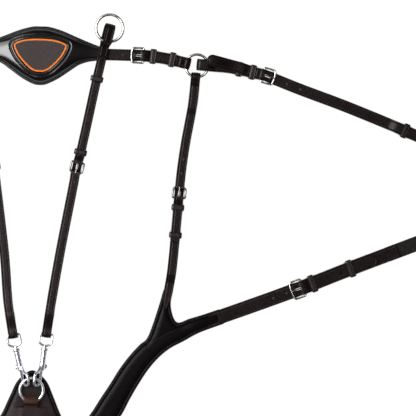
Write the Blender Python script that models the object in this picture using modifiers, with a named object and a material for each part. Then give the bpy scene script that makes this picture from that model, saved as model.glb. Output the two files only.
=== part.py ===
"""Five-point breastplate, laid out flat: yoke, wither pad, straps, elastics and martingale fork.

Metres, +Z up. The breastplate lies on z = 0 and is symmetric about X = 0. The chest ring's
centre is above the origin, the wither pad is towards +Y and the girth strap towards -Y.
"""
from math import cos, hypot, pi, radians, sin, sqrt

import bmesh
import bpy
from mathutils import Matrix, Vector

MM = 0.001
CLEAR = 0.3 * MM            # gap kept between pieces that touch on the real breastplate
EYE_EASE = 0.8 * MM         # play of a wire in the leather fold that holds it
FLOOR_GAP = 0.05 * MM       # billets run this far above the surface that everything lies on

# Leather and webbing
PLY = 1.8 * MM              # one ply of a folded chape or loop
BILLET = 2.4 * MM           # billet thickness
KEEPER_PLY = 1.5 * MM
KEEPER_LONG = 8 * MM
KEEPER_EASE = 1.1 * MM      # room between a billet's edge and the inside of its keeper
ELASTIC_THICK = 1.7 * MM
NARROW = 13 * MM            # shoulder and martingale straps
MEDIUM = 16 * MM            # wither and saddle straps
WIDE = 20 * MM              # girth billets and chapes
ELASTIC_WIDE = 20.6 * MM
GIRTH_STRAP_WIDE = 28 * MM
TAB_WIDE = 20 * MM
TAB_LONG = 42 * MM          # sewn length of the tab, from the chest ring's wire

# Padded pieces
YOKE_THICK = 6.5 * MM
YOKE_EDGE = 2.2 * MM        # rolled edge of the yoke
PAD_HIGH = 11 * MM          # crown of the wither pad
PAD_EDGE = 3 * MM           # thickness at its seam
PAD_ROLL = 17 * MM          # how far in from the seam the crown is reached
BADGE_THICK = 2.2 * MM

# Metal
WIRE = 1.5 * MM             # radius of a buckle frame's wire
TONGUE = 1.0 * MM           # radius of a buckle tongue
BUCKLE_EASE = 2 * MM        # buckle frame's inside width beyond its strap
SHORT_BUCKLE = 14 * MM      # heel bar to front bar, narrow buckles
LONG_BUCKLE = 16 * MM
RING_WIRE = 2 * MM          # radius of all the rings' wire
JUNCTION_RING = 15.9 * MM   # radius of the ring's wire centreline
MARTINGALE_RING = 19 * MM
CHEST_RING = 16.2 * MM
SLOT_WIDE = 2.9 * MM        # tongue slot in a billet
SLOT_EASE = 0.4 * MM        # the slot in a chape's heel is this much wider
HOLE = 1.9 * MM             # radius of a punched hole
HOLE_PITCH = 20 * MM
SEAM_OVERLAP = 12 * MM      # elastic between the plies of the leather sewn to it
OVER_CUT = 14 * MM          # height that every cut through a strap stack reaches

# Levels above the surface, in one strap stack
LOWER_PLY = PLY / 2
UPPER_PLY = LOWER_PLY + PLY + CLEAR
STACK_TOP = UPPER_PLY + PLY / 2
HEEL_LEVEL = TONGUE * 2 + WIRE + CLEAR * 3
HEEL_EYE = WIRE + CLEAR + PLY / 2
ON_STACK = STACK_TOP + CLEAR + BILLET / 2
FLAT = FLOOR_GAP + BILLET / 2
FOLD_UPPER = FLAT + BILLET + CLEAR  # a strap's upper ply where its folded end lies below it
TONGUE_REACH = WIRE + CLEAR + TONGUE
OVER_HEEL = HEEL_LEVEL + TONGUE_REACH + TONGUE + 2 * CLEAR + BILLET / 2
OVER_KEEPER = STACK_TOP + CLEAR + KEEPER_PLY + CLEAR + BILLET / 2   # a billet over a keeper it has left
RING_EYE = 3.9 * MM + PLY / 2       # centreline radius of a leather eye round a ring
STRAP_EYE = 3.7 * MM + BILLET / 2   # the same for the eye that a billet's own end makes
RING_LEVEL = STRAP_EYE + FLAT + 0.1 * MM
OVER_LOOP = RING_LEVEL + RING_EYE + PLY / 2 + CLEAR + BILLET / 2    # a billet over the loop in a ring
SNAP_LEVEL = STRAP_EYE + FLAT       # saddle snaps lie flat at this level
HEEL_TURN = 60                      # degrees below level where a chape starts round its heel bar
EYE_TURN = 75                       # degrees up where a strap's end starts round its eye
MARTINGALE_RISE = 7 * MM            # the martingale arms pass over the wither straps
RAMP = 9 * MM
FOLD_RAMP = 7 * MM                  # the folded chape opens to its heel bar over this length
HEEL_RAMP = 2 * MM                  # from the heel bar to the end of the hump over it
FOLD_STEP = 2 * MM                  # a folded end stops this far beyond the step that clears it
TIP_SHARES = (0.02, 0.12, 0.3, 0.6, 1.0)    # where a rounded tip's rows of points lie

# Plan of the straps' centre lines, right side, in millimetres; the first point is the chape's end
WITHER_LINE = [(203.9, 462.0), (185.2, 466.2), (155.8, 470.4), (128.4, 471.3), (95, 471.5), (60, 471.5)]
SHOULDER_LINE = [(182.3, 116), (187.3, 142.3), (191.6, 172), (195.3, 221.4), (199.5, 287.6), (202.3, 319.9),
                 (206.8, 355), (214.7, 404.2), (217.9, 442.9)]
SADDLE_LINE = [(235.3, 459.6), (266.8, 457.5), (301, 451), (319, 446.5), (363.1, 430.2),
               (422.8, 409.6), (476.8, 389.4), (512.9, 375.2), (545, 362.6)]
SADDLE_BILLET = [(233.3, 468.6), (253, 463.9), (277, 458.2), *SADDLE_LINE[2:]]  # its tip has swung out
GIRTH_LINE = [(708, 288.7), (643, 262.4), (503.9, 206.2), (441.5, 180.8), (388.9, 158.4),
              (360.5, 146.9), (319.7, 130.9), (262.7, 109.1), (235, 98.5)]
MARTINGALE_RIGHT = [(92, 489.3), (80, 436.2), (68.8, 378.8), (61.8, 343.4), (57.1, 321.5),
                    (52.6, 301.3), (50.6, 287.3), (35.1, 196.1), (24.5, 125.6), (18.9, 79.2)]
MARTINGALE_LEFT = [(-98, 489.3), (-86, 436.2), (-75, 378.8), (-67.5, 343.4), (-64, 321.5),
                   (-60, 301.3), (-57.5, 287.3), (-43.5, 190), (-36.8, 124), (-28.1, 76.7)]
JUNCTION_AT = (219.4, 458.7)

# Where each buckle's front bar, keepers and billet tip lie along its line, as plan points
WITHER_FRONT = (128.4, 471.3)
WITHER_KEEPERS = [(157.8, 470.2), (184.5, 466.3)]
WITHER_TIP = (193, 464.6)
SHOULDER_FRONT = (199.5, 287.6)
SHOULDER_KEEPERS = [(197.2, 260), (195.3, 221.4)]
SHOULDER_UPPER_END = (194.8, 214)   # the chape's upper ply ends here
SHOULDER_ON_YOKE = (188.8, 153.5)   # from here down its lower ply lies on the yoke
SHOULDER_TIP = (194.9, 210)
SADDLE_FRONT = (327, 444)
SADDLE_KEEPERS = [(297.5, 451.7)]
SADDLE_FREE_KEEPER = (279, 455.5)   # the billet lies over this one, out of it
SADDLE_LAID = [9 * MM, 38 * MM, 52 * MM, 60 * MM]   # from the tip: off the loop, on and off the keeper
SADDLE_END_KEEPER = (512.9, 375.2)
GIRTH_FRONT = (360.5, 146.9)
GIRTH_KEEPERS = [(388.9, 158.4), (441.5, 180.8)]
GIRTH_TIP = (478.1, 195.8)
GIRTH_ROOT = (262.7, 109.1)         # where the billet leaves the yoke's branch
ELASTIC_SEAM = (503.9, 206.2)
ELASTIC_END = (643, 262.4)
MARTINGALE_FRONT = 187.5 * MM       # along the arm's own line, from the rein ring
MARTINGALE_KEEPERS = [54 * MM, 159 * MM]
MARTINGALE_TIP = 20 * MM
MARTINGALE_HOLES = 58 * MM          # first of four punched holes
MARTINGALE_LOOP = 17 * MM           # how far the chapes' loops reach into their rings
SADDLE_LOOP = 11 * MM
WITHER_LOOP = 1.1 * MM
MARTINGALE_FOLD = 34 * MM           # length of a strap's own folded end
SHOULDER_FOLD = 42 * MM
SADDLE_FOLD = 13 * MM               # the same, beyond its keeper

# Outlines, right half, in millimetres
YOKE_OUTLINE = [(0, 27), (19.3, 13.2), (30.6, -10), (42, -36), (57.5, -61.5, "corner"), (80.7, -35),
                (95.5, -11.3), (108.8, 9.9), (122.3, 32.6), (135.7, 51.1), (149.3, 66.7), (160.5, 78),
                (173.1, 116.1), (180.8, 145, "corner"), (194.6, 146.5, "corner"),
                (191.2, 122), (199.9, 99.4), (217.9, 104.8), (238.6, 111.6),
                (259, 119.2, "corner"), (266.8, 99.2, "corner"), (232.4, 85.7), (211.7, 73.9),
                (191.1, 62.2), (174.8, 47.9), (161.2, 30.9), (147.9, 9.5), (137.2, -10.2),
                (125.2, -33.9), (105, -62), (76, -88), (40, -106), (0, -113)]
PAD_TOP = [(0, 37), (12, 36.5), (29.5, 31.7), (47, 24.6), (64.7, 17.5), (77.6, 12.7), (90, 8.6)]
PAD_BOTTOM = [(0, -45.1), (9.3, -43.7), (25.3, -35.7), (42.5, -23.7), (54, -15.8), (65.5, -11.4),
              (77, -9.3), (90, -8.2)]
PAD_Y = 471.5 * MM
BADGE_OUTLINE = [(0, 19.3), (20, 18), (34, 13.5), (37, 8), (30, -6), (16, -21), (7, -26.2), (0, -27)]

# Rings and snaps
TAB_EYE = sqrt(CHEST_RING ** 2 - (TAB_WIDE / 2) ** 2)
CHEST_LEVEL = 14.2 * MM
BARREL = 4.25 * MM
BORE = 2.45 * MM
BOLT = 2.1 * MM
HOOK_WIRE = 1.9 * MM
HOOK_WIDE = 12.5 * MM               # hook arm's centre line from the bolt's
SNAP_WIRE = 1.7 * MM
BARREL_FROM = 14 * MM               # along the snap, from the middle of its throat
BARREL_TO = 46 * MM
EYE_FROM = 49 * MM
EYE_TO = 66 * MM
COLLAR_FROM = BARREL_TO - 4.5 * MM
CAVITY_FROM = BARREL_TO - 9.5 * MM  # room for the head of the swivel eye, inside the barrel
HEAD_BORE = 3.3 * MM
SHANK_BORE = 2.35 * MM
HEAD = 2.9 * MM
SHANK = 2.0 * MM
CHAMFER = 0.8 * MM
SNAP_SLOT = 1.9 * MM                # half width of the slot that the thumb knob slides in
KNOB = 1.5 * MM                     # radius of the knob's stem
SNAP_ROLL = radians(38)
BOLT_TRAVEL = 8 * MM
BOLT_BACK = BARREL_FROM + 12 * MM
KNOB_AT = BARREL_FROM + 6.1 * MM
CURL_AT = -1.6 * MM                 # middle of the hook's curl, along the snap
HOOK_TIP = -0.7 * MM
WIRE_IN_HOOK = 6.4 * MM             # from the bolt's centre line to the ring wire in the hook
HOOK_ANGLE = {1: radians(62), -1: radians(122)}     # where each snap grips the chest ring

GIRTH_STRAP_FROM = -100 * MM
GIRTH_STRAP_TO = -452 * MM
GIRTH_LOOP_LONG = 74 * MM
GIRTH_STRAP_ON_YOKE = (0, -122)     # the girth strap rises to lie on the chest shield here
GIRTH_STRAP_TAIL = 24 * MM          # its sewn length on the chest shield, past its plan line
LOOP_HALF = 3.4 * MM                # centreline half height of the girth loops

SIDES = {"right": 1, "left": -1}

LEATHER = ("black leather", (0.022, 0.017, 0.016), 0.45, 0.0)
STEEL = ("polished steel", (0.72, 0.71, 0.69), 0.22, 1.0)
WEBBING = ("elastic webbing", (0.035, 0.028, 0.030), 0.9, 0.0)
PATCH = ("badge", (0.075, 0.068, 0.062), 0.6, 0.0)


def clear_scene():
    for item in list(bpy.data.objects):
        bpy.data.objects.remove(item, do_unlink=True)


def new_collection(name):
    group = bpy.data.collections.new(name)
    bpy.context.scene.collection.children.link(group)
    return group


clear_scene()
PARTS = new_collection("breastplate")
TOOLS = new_collection("cutters")


def material_for(name, finish):
    label, colour, roughness, metallic = finish
    material = bpy.data.materials.new(name + " " + label)
    material.use_nodes = True
    shader = material.node_tree.nodes["Principled BSDF"]
    shader.inputs["Base Color"].default_value = (*colour, 1)
    shader.inputs["Roughness"].default_value = roughness
    shader.inputs["Metallic"].default_value = metallic
    return material


def add_piece(name, data, finish):
    piece = bpy.data.objects.new(name, data)
    PARTS.objects.link(piece)
    piece.data.materials.append(material_for(name, finish))
    return piece


def add_tool(data, name="cutter"):
    tool = bpy.data.objects.new(name, data)
    TOOLS.objects.link(tool)
    tool.hide_render = True
    tool.display_type = "WIRE"
    return tool


def solid_from(data, weld=1e-6):
    """Mesh of a curve or mesh with its modifiers applied and its doubles merged."""
    holder = data
    if not isinstance(holder, bpy.types.Object):
        holder = bpy.data.objects.new("holder", data)
        bpy.context.scene.collection.objects.link(holder)
    graph = bpy.context.evaluated_depsgraph_get()
    graph.update()
    mesh = bpy.data.meshes.new_from_object(holder.evaluated_get(graph))
    mesh.transform(holder.matrix_world)
    bpy.data.objects.remove(holder, do_unlink=True)
    work = bmesh.new()
    work.from_mesh(mesh)
    bmesh.ops.remove_doubles(work, verts=work.verts, dist=weld)
    work.to_mesh(mesh)
    work.free()
    return mesh


def boolean(piece, tool, operation):
    modifier = piece.modifiers.new(operation.lower(), "BOOLEAN")
    modifier.operation = operation
    modifier.solver = "EXACT"
    modifier.object = tool


def smooth(piece, angle=35):
    piece.data.shade_smooth()
    piece.data.set_sharp_from_angle(angle=radians(angle))


class StrapLine:
    """A strap's centre line in plan, read by the distance along it, with its level above z = 0."""

    STEPS = 10

    def __init__(self, points, side=1, rise=None):
        ends = [Vector(p) * MM for p in points]
        first = ends[0] * 2 - ends[1]
        last = ends[-1] * 2 - ends[-2]
        knots = [first, *ends, last]
        self.points = []
        for a, b, c, d in zip(knots, knots[1:], knots[2:], knots[3:]):
            for step in range(self.STEPS):
                t = step / self.STEPS
                self.points.append((b * 2 + (c - a) * t + (a * 2 - b * 5 + c * 4 - d) * t ** 2
                                    + (b * 3 - a - c * 3 + d) * t ** 3) / 2)
        self.points.append(ends[-1])
        self.points = [Vector((p.x * side, p.y)) for p in self.points]
        self.far = [0.0]
        for a, b in zip(self.points, self.points[1:]):
            self.far.append(self.far[-1] + (b - a).length)
        self.length = self.far[-1]
        self.rise = rise or (lambda s: 0.0)

    def plan(self, s):
        inner = range(len(self.far) - 2)
        i = next((k for k in inner if s < self.far[k + 1]), len(self.far) - 2)
        a, b = self.points[i], self.points[i + 1]
        return a + (b - a) * ((s - self.far[i]) / (self.far[i + 1] - self.far[i]))

    def heading(self, s, reach=4 * MM):
        return (self.plan(s + reach) - self.plan(s - reach)).normalized()

    def across(self, s):
        along = self.heading(s)
        return Vector((-along.y, along.x, 0))

    def at(self, s, level):
        spot = self.plan(s)
        return Vector((spot.x, spot.y, self.rise(s) + level))

    def nearest(self, point, side=1):
        target = Vector((point[0] * side, point[1])) * MM
        steps = [self.length * k / 2000 for k in range(2001)]
        return min(steps, key=lambda s: (self.plan(s) - target).length)

    def frame(self, s, level):
        """Local frame: X along the line, Y across it, Z up."""
        reach = 3 * MM
        along = (self.at(s + reach, 0) - self.at(s - reach, 0)).normalized()
        across = self.across(s)
        up = along.cross(across)
        axes = Matrix((along, across, up)).transposed().to_4x4()
        return Matrix.Translation(self.at(s, level)) @ axes


def ramp(s_from, level_from, s_to, level_to, steps=5):
    """Points of a smooth change of level."""
    points = []
    for k in range(steps + 1):
        t = k / steps
        ease = t * t * (3 - 2 * t)
        points.append((s_from + (s_to - s_from) * t, level_from + (level_to - level_from) * ease))
    return points


def arc(s_mid, level, radius, turn_from, turn_to, steps=6):
    points = []
    for k in range(steps + 1):
        turn = radians(turn_from + (turn_to - turn_from) * k / steps)
        points.append((s_mid + radius * cos(turn), level + radius * sin(turn)))
    return points


def spaced(path, gap=55 * MM):
    """The path with extra points on long straight runs, so that it follows the line's bends."""
    points = [path[0]]
    for (s_a, l_a), (s_b, l_b) in zip(path, path[1:]):
        count = int(abs(s_b - s_a) / gap)
        for k in range(1, count + 1):
            t = k / (count + 1)
            points.append((s_a + (s_b - s_a) * t, l_a + (l_b - l_a) * t))
        points.append((s_b, l_b))
    kept = [points[0]]
    for point in points[1:]:
        if hypot(point[0] - kept[-1][0], point[1] - kept[-1][1]) > 0.05 * MM:
            kept.append(point)
    return kept


def strap_mesh(line, path, width, ply, closed=False, tip=None):
    """A sheet of leather that follows the path (distance, level), thickened to its ply."""
    path = spaced(path)
    if closed:
        path = [*path, path[0]]
    if tip is not None:
        reach = width / 2
        level = path[0][1]
        body = [p for p in path if p[0] - tip > reach * 1.05]
        path = [(tip + reach * share, level) for share in TIP_SHARES] + body
    mesh = bpy.data.meshes.new("strap")
    sheet = bmesh.new()
    bmesh.ops.create_grid(sheet, x_segments=len(path) - 1, y_segments=1, size=1)
    columns = sorted({round(v.co.x, 5) for v in sheet.verts})
    for vert in sheet.verts:
        s, level = path[columns.index(round(vert.co.x, 5))]
        half = width / 2
        if tip is not None:
            short = 1 - min(abs(s - tip) / half, 1)
            half *= sqrt(max(1 - short ** 2, 0.0))
        vert.co = line.at(s, level) + line.across(s) * (half if vert.co.y > 0 else -half)
    if closed:
        bmesh.ops.remove_doubles(sheet, verts=sheet.verts, dist=1e-6)
    bmesh.ops.recalc_face_normals(sheet, faces=sheet.faces)
    sheet.to_mesh(mesh)
    sheet.free()
    holder = bpy.data.objects.new("strap", mesh)
    bpy.context.scene.collection.objects.link(holder)
    thick = holder.modifiers.new("ply", "SOLIDIFY")
    thick.thickness = ply
    thick.offset = 0
    thick.use_even_offset = True
    return solid_from(holder)


def plate(outline, holes, thick, resolution=3, bevel=0.0):
    """A flat outline with holes, in XY, from z = 0 up; a point may be marked as a corner."""
    curve = bpy.data.curves.new("outline", "CURVE")
    curve.dimensions = "2D"
    curve.fill_mode = "BOTH"
    curve.extrude = thick / 2
    curve.resolution_u = resolution
    for loop in [outline, *holes]:
        spline = curve.splines.new("BEZIER")
        spline.bezier_points.add(len(loop) - 1)
        spline.use_cyclic_u = True
        for knot, point in zip(spline.bezier_points, loop):
            knot.co = (point[0], point[1], 0)
            kind = "VECTOR" if len(point) > 2 else "AUTO"
            knot.handle_left_type = kind
            knot.handle_right_type = kind
    mesh = solid_from(curve)
    mesh.transform(Matrix.Translation((0, 0, thick / 2)))
    if bevel:
        work = bmesh.new()
        work.from_mesh(mesh)
        bmesh.ops.dissolve_limit(work, angle_limit=radians(0.5), verts=work.verts, edges=work.edges)
        rim = [e for e in work.edges if len(e.link_faces) == 2 and e.calc_face_angle() > radians(60)
               and abs(e.verts[0].co.z - e.verts[1].co.z) < 1e-7 and e.verts[0].co.z > thick / 2]
        bmesh.ops.bevel(work, geom=rim, offset=bevel, segments=1, profile=0.6, affect="EDGES")
        bmesh.ops.triangulate(work, faces=work.faces)
        work.to_mesh(mesh)
        work.free()
    return mesh


def tube_mesh(points, radius, cyclic=False, sides=1):
    """A round wire through the points."""
    curve = bpy.data.curves.new("wire", "CURVE")
    curve.dimensions = "3D"
    curve.bevel_depth = radius
    curve.bevel_resolution = sides
    curve.use_fill_caps = not cyclic
    spline = curve.splines.new("POLY")
    spline.points.add(len(points) - 1)
    spline.use_cyclic_u = cyclic
    for knot, point in zip(spline.points, points):
        knot.co = (*point, 1)
    return solid_from(curve)


def turned_mesh(profile, steps=10, hollow=False):
    """A profile of (distance along X, radius) turned about X; a hollow one closes on itself."""
    mesh = bpy.data.meshes.new("turned")
    points = [(radius, 0, along) for along, radius in profile]
    edges = [(k, k + 1) for k in range(len(points) - 1)]
    if hollow:
        edges.append((len(points) - 1, 0))
    mesh.from_pydata(points, edges, [])
    holder = bpy.data.objects.new("turned", mesh)
    bpy.context.scene.collection.objects.link(holder)
    screw = holder.modifiers.new("turn", "SCREW")
    screw.axis = "Z"
    screw.steps = steps
    screw.render_steps = steps
    screw.use_merge_vertices = True
    screw.merge_threshold = 1e-5
    turned = solid_from(holder, weld=1e-5)
    turned.transform(Matrix.Rotation(pi / 2, 4, "Y"))
    work = bmesh.new()
    work.from_mesh(turned)
    bmesh.ops.recalc_face_normals(work, faces=work.faces)
    work.to_mesh(turned)
    work.free()
    return turned


def box_mesh(low, high):
    mesh = bpy.data.meshes.new("box")
    work = bmesh.new()
    bmesh.ops.create_cube(work, size=1)
    for vert in work.verts:
        vert.co = [low[k] + (high[k] - low[k]) * (vert.co[k] + 0.5) for k in range(3)]
    work.to_mesh(mesh)
    work.free()
    return mesh


def rod_mesh(radius, low, high, sides=8):
    mesh = bpy.data.meshes.new("rod")
    work = bmesh.new()
    bmesh.ops.create_cone(work, cap_ends=True, segments=sides, radius1=radius, radius2=radius,
                          depth=high - low)
    bmesh.ops.translate(work, verts=work.verts, vec=(0, 0, (low + high) / 2))
    work.to_mesh(mesh)
    work.free()
    return mesh


# Straps


def ring_chape_path(s_heel, slack):
    """A closed band: slack eye in the ring at s = 0, two plies, eye round the heel bar."""
    fold_level = HEEL_LEVEL + HEEL_EYE - CLEAR / 2
    return [*arc(-slack, RING_LEVEL, RING_EYE, 90, 270, 4),
            *ramp(0, RING_LEVEL - RING_EYE, RAMP, LOWER_PLY, 2),
            *ramp(s_heel - RAMP, LOWER_PLY, s_heel, HEEL_LEVEL - HEEL_EYE, 3),
            *arc(s_heel, HEEL_LEVEL, HEEL_EYE, -HEEL_TURN, 90, 5),
            *ramp(s_heel - HEEL_EYE / 2, fold_level, s_heel - FOLD_RAMP, UPPER_PLY, 3),
            *ramp(RAMP - CLEAR, UPPER_PLY, -CLEAR, RING_LEVEL + RING_EYE, 3)]


def sewn_chape_path(s_upper, lower_path, s_heel):
    """An open band: the upper ply starts at s_upper, goes round the heel bar and comes back below."""
    fold_level = HEEL_LEVEL + HEEL_EYE - CLEAR / 2
    return [(s_upper, UPPER_PLY),
            *ramp(s_heel - FOLD_RAMP, UPPER_PLY, s_heel - HEEL_EYE / 2, fold_level, 3),
            *arc(s_heel, HEEL_LEVEL, HEEL_EYE, 90, -HEEL_TURN, 5),
            *ramp(s_heel, HEEL_LEVEL - HEEL_EYE, s_heel - RAMP, LOWER_PLY, 3),
            *lower_path]


def billet_path(s_tip, s_heel, s_front):
    """From the tip on the chape, over the heel bar and down through the frame's front bar."""
    return [(s_tip, ON_STACK),
            *ramp(s_heel - RAMP, ON_STACK, s_heel - HEEL_RAMP, OVER_HEEL, 4),
            *ramp(s_heel + HEEL_RAMP, OVER_HEEL, s_front - WIRE, FLAT, 5)]


def fold_path(fold_end, s_eye, level, radius):
    """A strap's end: up over its own folded end, round an eye and back below."""
    ply_rise = 12 * MM
    eye_rise = 13 * MM
    eye_shift = 0.5 * MM
    return [*ramp(fold_end - ply_rise, FLAT, fold_end, FOLD_UPPER, 2),
            *ramp(s_eye - eye_rise, FOLD_UPPER, s_eye, level + radius, 4),
            *arc(s_eye + eye_shift, level, radius, EYE_TURN, -90, 5),
            *ramp(s_eye - eye_shift * 2, level - radius, s_eye - RAMP, FLAT, 2),
            (fold_end + FOLD_STEP, FLAT)]


def keeper_tool(line, s, width, seam=PLY, top_in=ON_STACK + BILLET / 2 + CLEAR):
    """A keeper's closed loop; its foot passes between the plies that carry it, at their seam."""
    half_in = width / 2 + KEEPER_EASE
    half_out = half_in + KEEPER_PLY
    foot = seam - KEEPER_PLY * 0.4
    top_out = top_in + KEEPER_PLY
    round_off = KEEPER_PLY * 0.8
    outer = [(foot, -half_out, "corner"), (foot, half_out, "corner"),
             (top_out - round_off, half_out, "corner"), (top_out, half_out - round_off, "corner"),
             (top_out, round_off - half_out, "corner"), (top_out - round_off, -half_out, "corner")]
    floor = foot + KEEPER_PLY
    inner = [(floor, -half_in, "corner"), (floor, half_in, "corner"),
             (top_in, half_in, "corner"), (top_in, -half_in, "corner")]
    mesh = plate(outer, [inner], KEEPER_LONG)
    stand = Matrix(((0, 0, 1, -KEEPER_LONG / 2), (0, 1, 0, 0), (1, 0, 0, 0), (0, 0, 0, 1)))
    mesh.transform(stand)
    mesh.flip_normals()
    mesh.transform(line.frame(s, 0))
    return add_tool(mesh, "keeper")


def slot_tool(line, s_heel, s_from, s_to, wide, low, high):
    mesh = box_mesh((s_from, -wide / 2, low), (s_to, wide / 2, high))
    mesh.transform(line.frame(s_heel, 0))
    return add_tool(mesh)


def hole_tool(line, s):
    mesh = rod_mesh(HOLE, -BILLET, OVER_CUT)
    mesh.transform(line.frame(s, 0))
    return add_tool(mesh)


def add_chape(name, line, path, width, s_heel, keepers, closed=False, free=None):
    """A chape with its keepers; a free keeper holds the chape's own plies alone."""
    chape = add_piece(name, strap_mesh(line, path, width, PLY, closed=closed), LEATHER)
    for s in keepers:
        boolean(chape, keeper_tool(line, s, width), "UNION")
    if free is not None:
        boolean(chape, keeper_tool(line, free, width, PLY, STACK_TOP + CLEAR), "UNION")
    reach = HEEL_EYE + PLY * 1.7
    slot = slot_tool(line, s_heel, -reach, reach, SLOT_WIDE + SLOT_EASE, -PLY, HEEL_LEVEL + reach)
    boolean(chape, slot, "DIFFERENCE")


def punch(piece, line, s_heel, s_front, holes=()):
    """The slot that the tongue stands in, and the row of punched holes."""
    slot_to = s_front - s_heel - WIRE * 2
    boolean(piece, slot_tool(line, s_heel, CLEAR * 3, slot_to, SLOT_WIDE, MM, OVER_CUT), "DIFFERENCE")
    for s in holes:
        boolean(piece, hole_tool(line, s), "DIFFERENCE")


# Buckles


def add_buckle(kind, name, line, s_heel, long, width):
    """Frame of round wire in its own plane: heel bar at the local origin, front bar ahead."""
    half = width / 2 + BUCKLE_EASE / 2 + WIRE
    corner = 3.2 * MM
    knee = corner * 0.3
    heel_corner = 1.4 * MM
    bow = 0.9 * MM
    outline = [(0, half - heel_corner), (heel_corner * 0.4, half - heel_corner * 0.3),
               (heel_corner, half), (long - corner, half), (long - knee, half - knee),
               (long, half - corner), (long + bow, 0)]
    mirror = [(x, -y) for x, y in reversed(outline[:-1])]
    points = [(x, y, 0) for x, y in outline + mirror]
    tongue_path = []
    for k in range(9):
        turn = radians(90 + 36 * (8 - k))
        tongue_path.append((TONGUE_REACH * cos(turn), 0, TONGUE_REACH * sin(turn)))
    tongue_path.append((long + bow + WIRE * 0.8, 0, TONGUE_REACH))
    for part, mesh in (("_buckle_", tube_mesh(points, WIRE, cyclic=True)),
                       ("_tongue_", tube_mesh(tongue_path, TONGUE))):
        piece = add_piece(kind + part + name, mesh, STEEL)
        piece.matrix_world = line.frame(s_heel, HEEL_LEVEL)
        smooth(piece, 50)


# Rings


def add_ring(name, radius, spot):
    steps = 24
    turns = [2 * pi * k / steps for k in range(steps)]
    mesh = tube_mesh([(radius * cos(turn), radius * sin(turn), 0) for turn in turns], RING_WIRE, cyclic=True)
    ring = add_piece(name, mesh, STEEL)
    ring.location = spot
    smooth(ring, 50)


# Snaps, along their local X from the throat to the eye, hook arm towards local +Y


def snap_frame(spot, along, roll):
    """Local frame at the middle of the throat: X to the eye, Y towards the hook's arm."""
    along = along.normalized()
    side = Vector((0, 0, 1)).cross(along)
    arm = Vector((0, 0, 1)) * cos(roll) + side * sin(roll)
    third = along.cross(arm)
    axes = Matrix((along, arm, third)).transposed().to_4x4()
    return Matrix.Translation(spot) @ axes


def snap_body_mesh():
    """Barrel with its collar, bored for the bolt and, behind, for the head of a swivel eye."""
    collar = BARREL + 1.05 * MM
    outer = [(BARREL_FROM, BORE), (BARREL_FROM, BARREL - CHAMFER), (BARREL_FROM + CHAMFER, BARREL),
             (COLLAR_FROM - 1 * MM, BARREL), (COLLAR_FROM, collar),
             (BARREL_TO - CHAMFER, collar), (BARREL_TO, collar - CHAMFER)]
    inner = [(BARREL_TO, SHANK_BORE), (COLLAR_FROM, SHANK_BORE), (COLLAR_FROM, HEAD_BORE),
             (CAVITY_FROM, HEAD_BORE), (CAVITY_FROM, BORE + CLEAR / 2)]
    return turned_mesh(outer + inner, hollow=True)


def hook_points():
    """Arm from the barrel's wall, out, along and curled back to meet the bolt's tip."""
    curl = HOOK_WIDE / 2
    start = [(BARREL_FROM + 3.2 * MM, BARREL - 0.9 * MM), (BARREL_FROM - 1.5 * MM, BARREL + 2.4 * MM),
             (BARREL_FROM - 5.5 * MM, HOOK_WIDE - 1.2 * MM), (BARREL_FROM - 9 * MM, HOOK_WIDE)]
    turn = [(CURL_AT + curl * cos(radians(a)), curl + curl * sin(radians(a))) for a in range(90, 271, 30)]
    return [(x, y, 0) for x, y in [*start, *turn, (HOOK_TIP, 0)]]


def add_snap_body(name, frame, eye_strap=None):
    body = add_piece(name, snap_body_mesh(), STEEL)
    body.matrix_world = frame
    hook = tube_mesh(hook_points(), HOOK_WIRE)
    hook.transform(frame)
    boolean(body, add_tool(hook, "hook"), "UNION")
    bore_from = HOOK_TIP + 2 * MM
    bore_to = CAVITY_FROM - 1 * MM
    bore = turned_mesh([(bore_from, 0.0), (bore_from, BORE), (bore_to, BORE), (bore_to, 0.0)])
    bore.transform(frame)
    boolean(body, add_tool(bore), "DIFFERENCE")
    slot_from = KNOB_AT - SNAP_SLOT - CLEAR / 2
    slot_to = KNOB_AT + BOLT_TRAVEL + SNAP_SLOT
    slot = box_mesh((slot_from, -BARREL * 1.5, -SNAP_SLOT), (slot_to, -BORE / 5, SNAP_SLOT))
    slot.transform(frame)
    boolean(body, add_tool(slot), "DIFFERENCE")
    if eye_strap:
        eye = eye_mesh(eye_strap, swivel=False)
        eye.transform(frame)
        boolean(body, add_tool(eye, "eye"), "UNION")
    smooth(body, 40)


def eye_mesh(strap, swivel=True):
    """Squared loop for the strap, on a shank; with a head behind the collar when it swivels."""
    half = strap / 2 + SNAP_WIRE + 2 * CLEAR
    corner = 3 * MM
    knee = corner * 0.3
    neck = EYE_FROM + 2.5 * MM
    shoulder = EYE_FROM + 5 * MM
    waist = 2.4 * MM
    right = [(EYE_FROM, waist), (neck, half - corner / 2), (shoulder, half), (EYE_TO - corner, half),
             (EYE_TO - knee, half - knee), (EYE_TO, half - corner)]
    left = [(x, -y) for x, y in reversed(right)]
    ring = tube_mesh([(x, y, 0) for x, y in right + left], SNAP_WIRE, cyclic=True)
    shank_to = EYE_FROM + CLEAR
    if swivel:
        head_from = COLLAR_FROM - 4.5 * MM
        head_to = head_from + 3 * MM
        profile = [(head_from, 0.0), (head_from, HEAD), (head_to, HEAD), (head_to, SHANK)]
    else:
        profile = [(COLLAR_FROM + CHAMFER, 0.0), (COLLAR_FROM + CHAMFER, HEAD)]
    stem = turned_mesh([*profile, (shank_to, SHANK), (shank_to, 0.0)])
    holder = bpy.data.objects.new("eye", ring)
    bpy.context.scene.collection.objects.link(holder)
    stem_tool = add_tool(stem, "stem")
    boolean(holder, stem_tool, "UNION")
    mesh = solid_from(holder)
    bpy.data.objects.remove(stem_tool, do_unlink=True)
    return mesh


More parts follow.
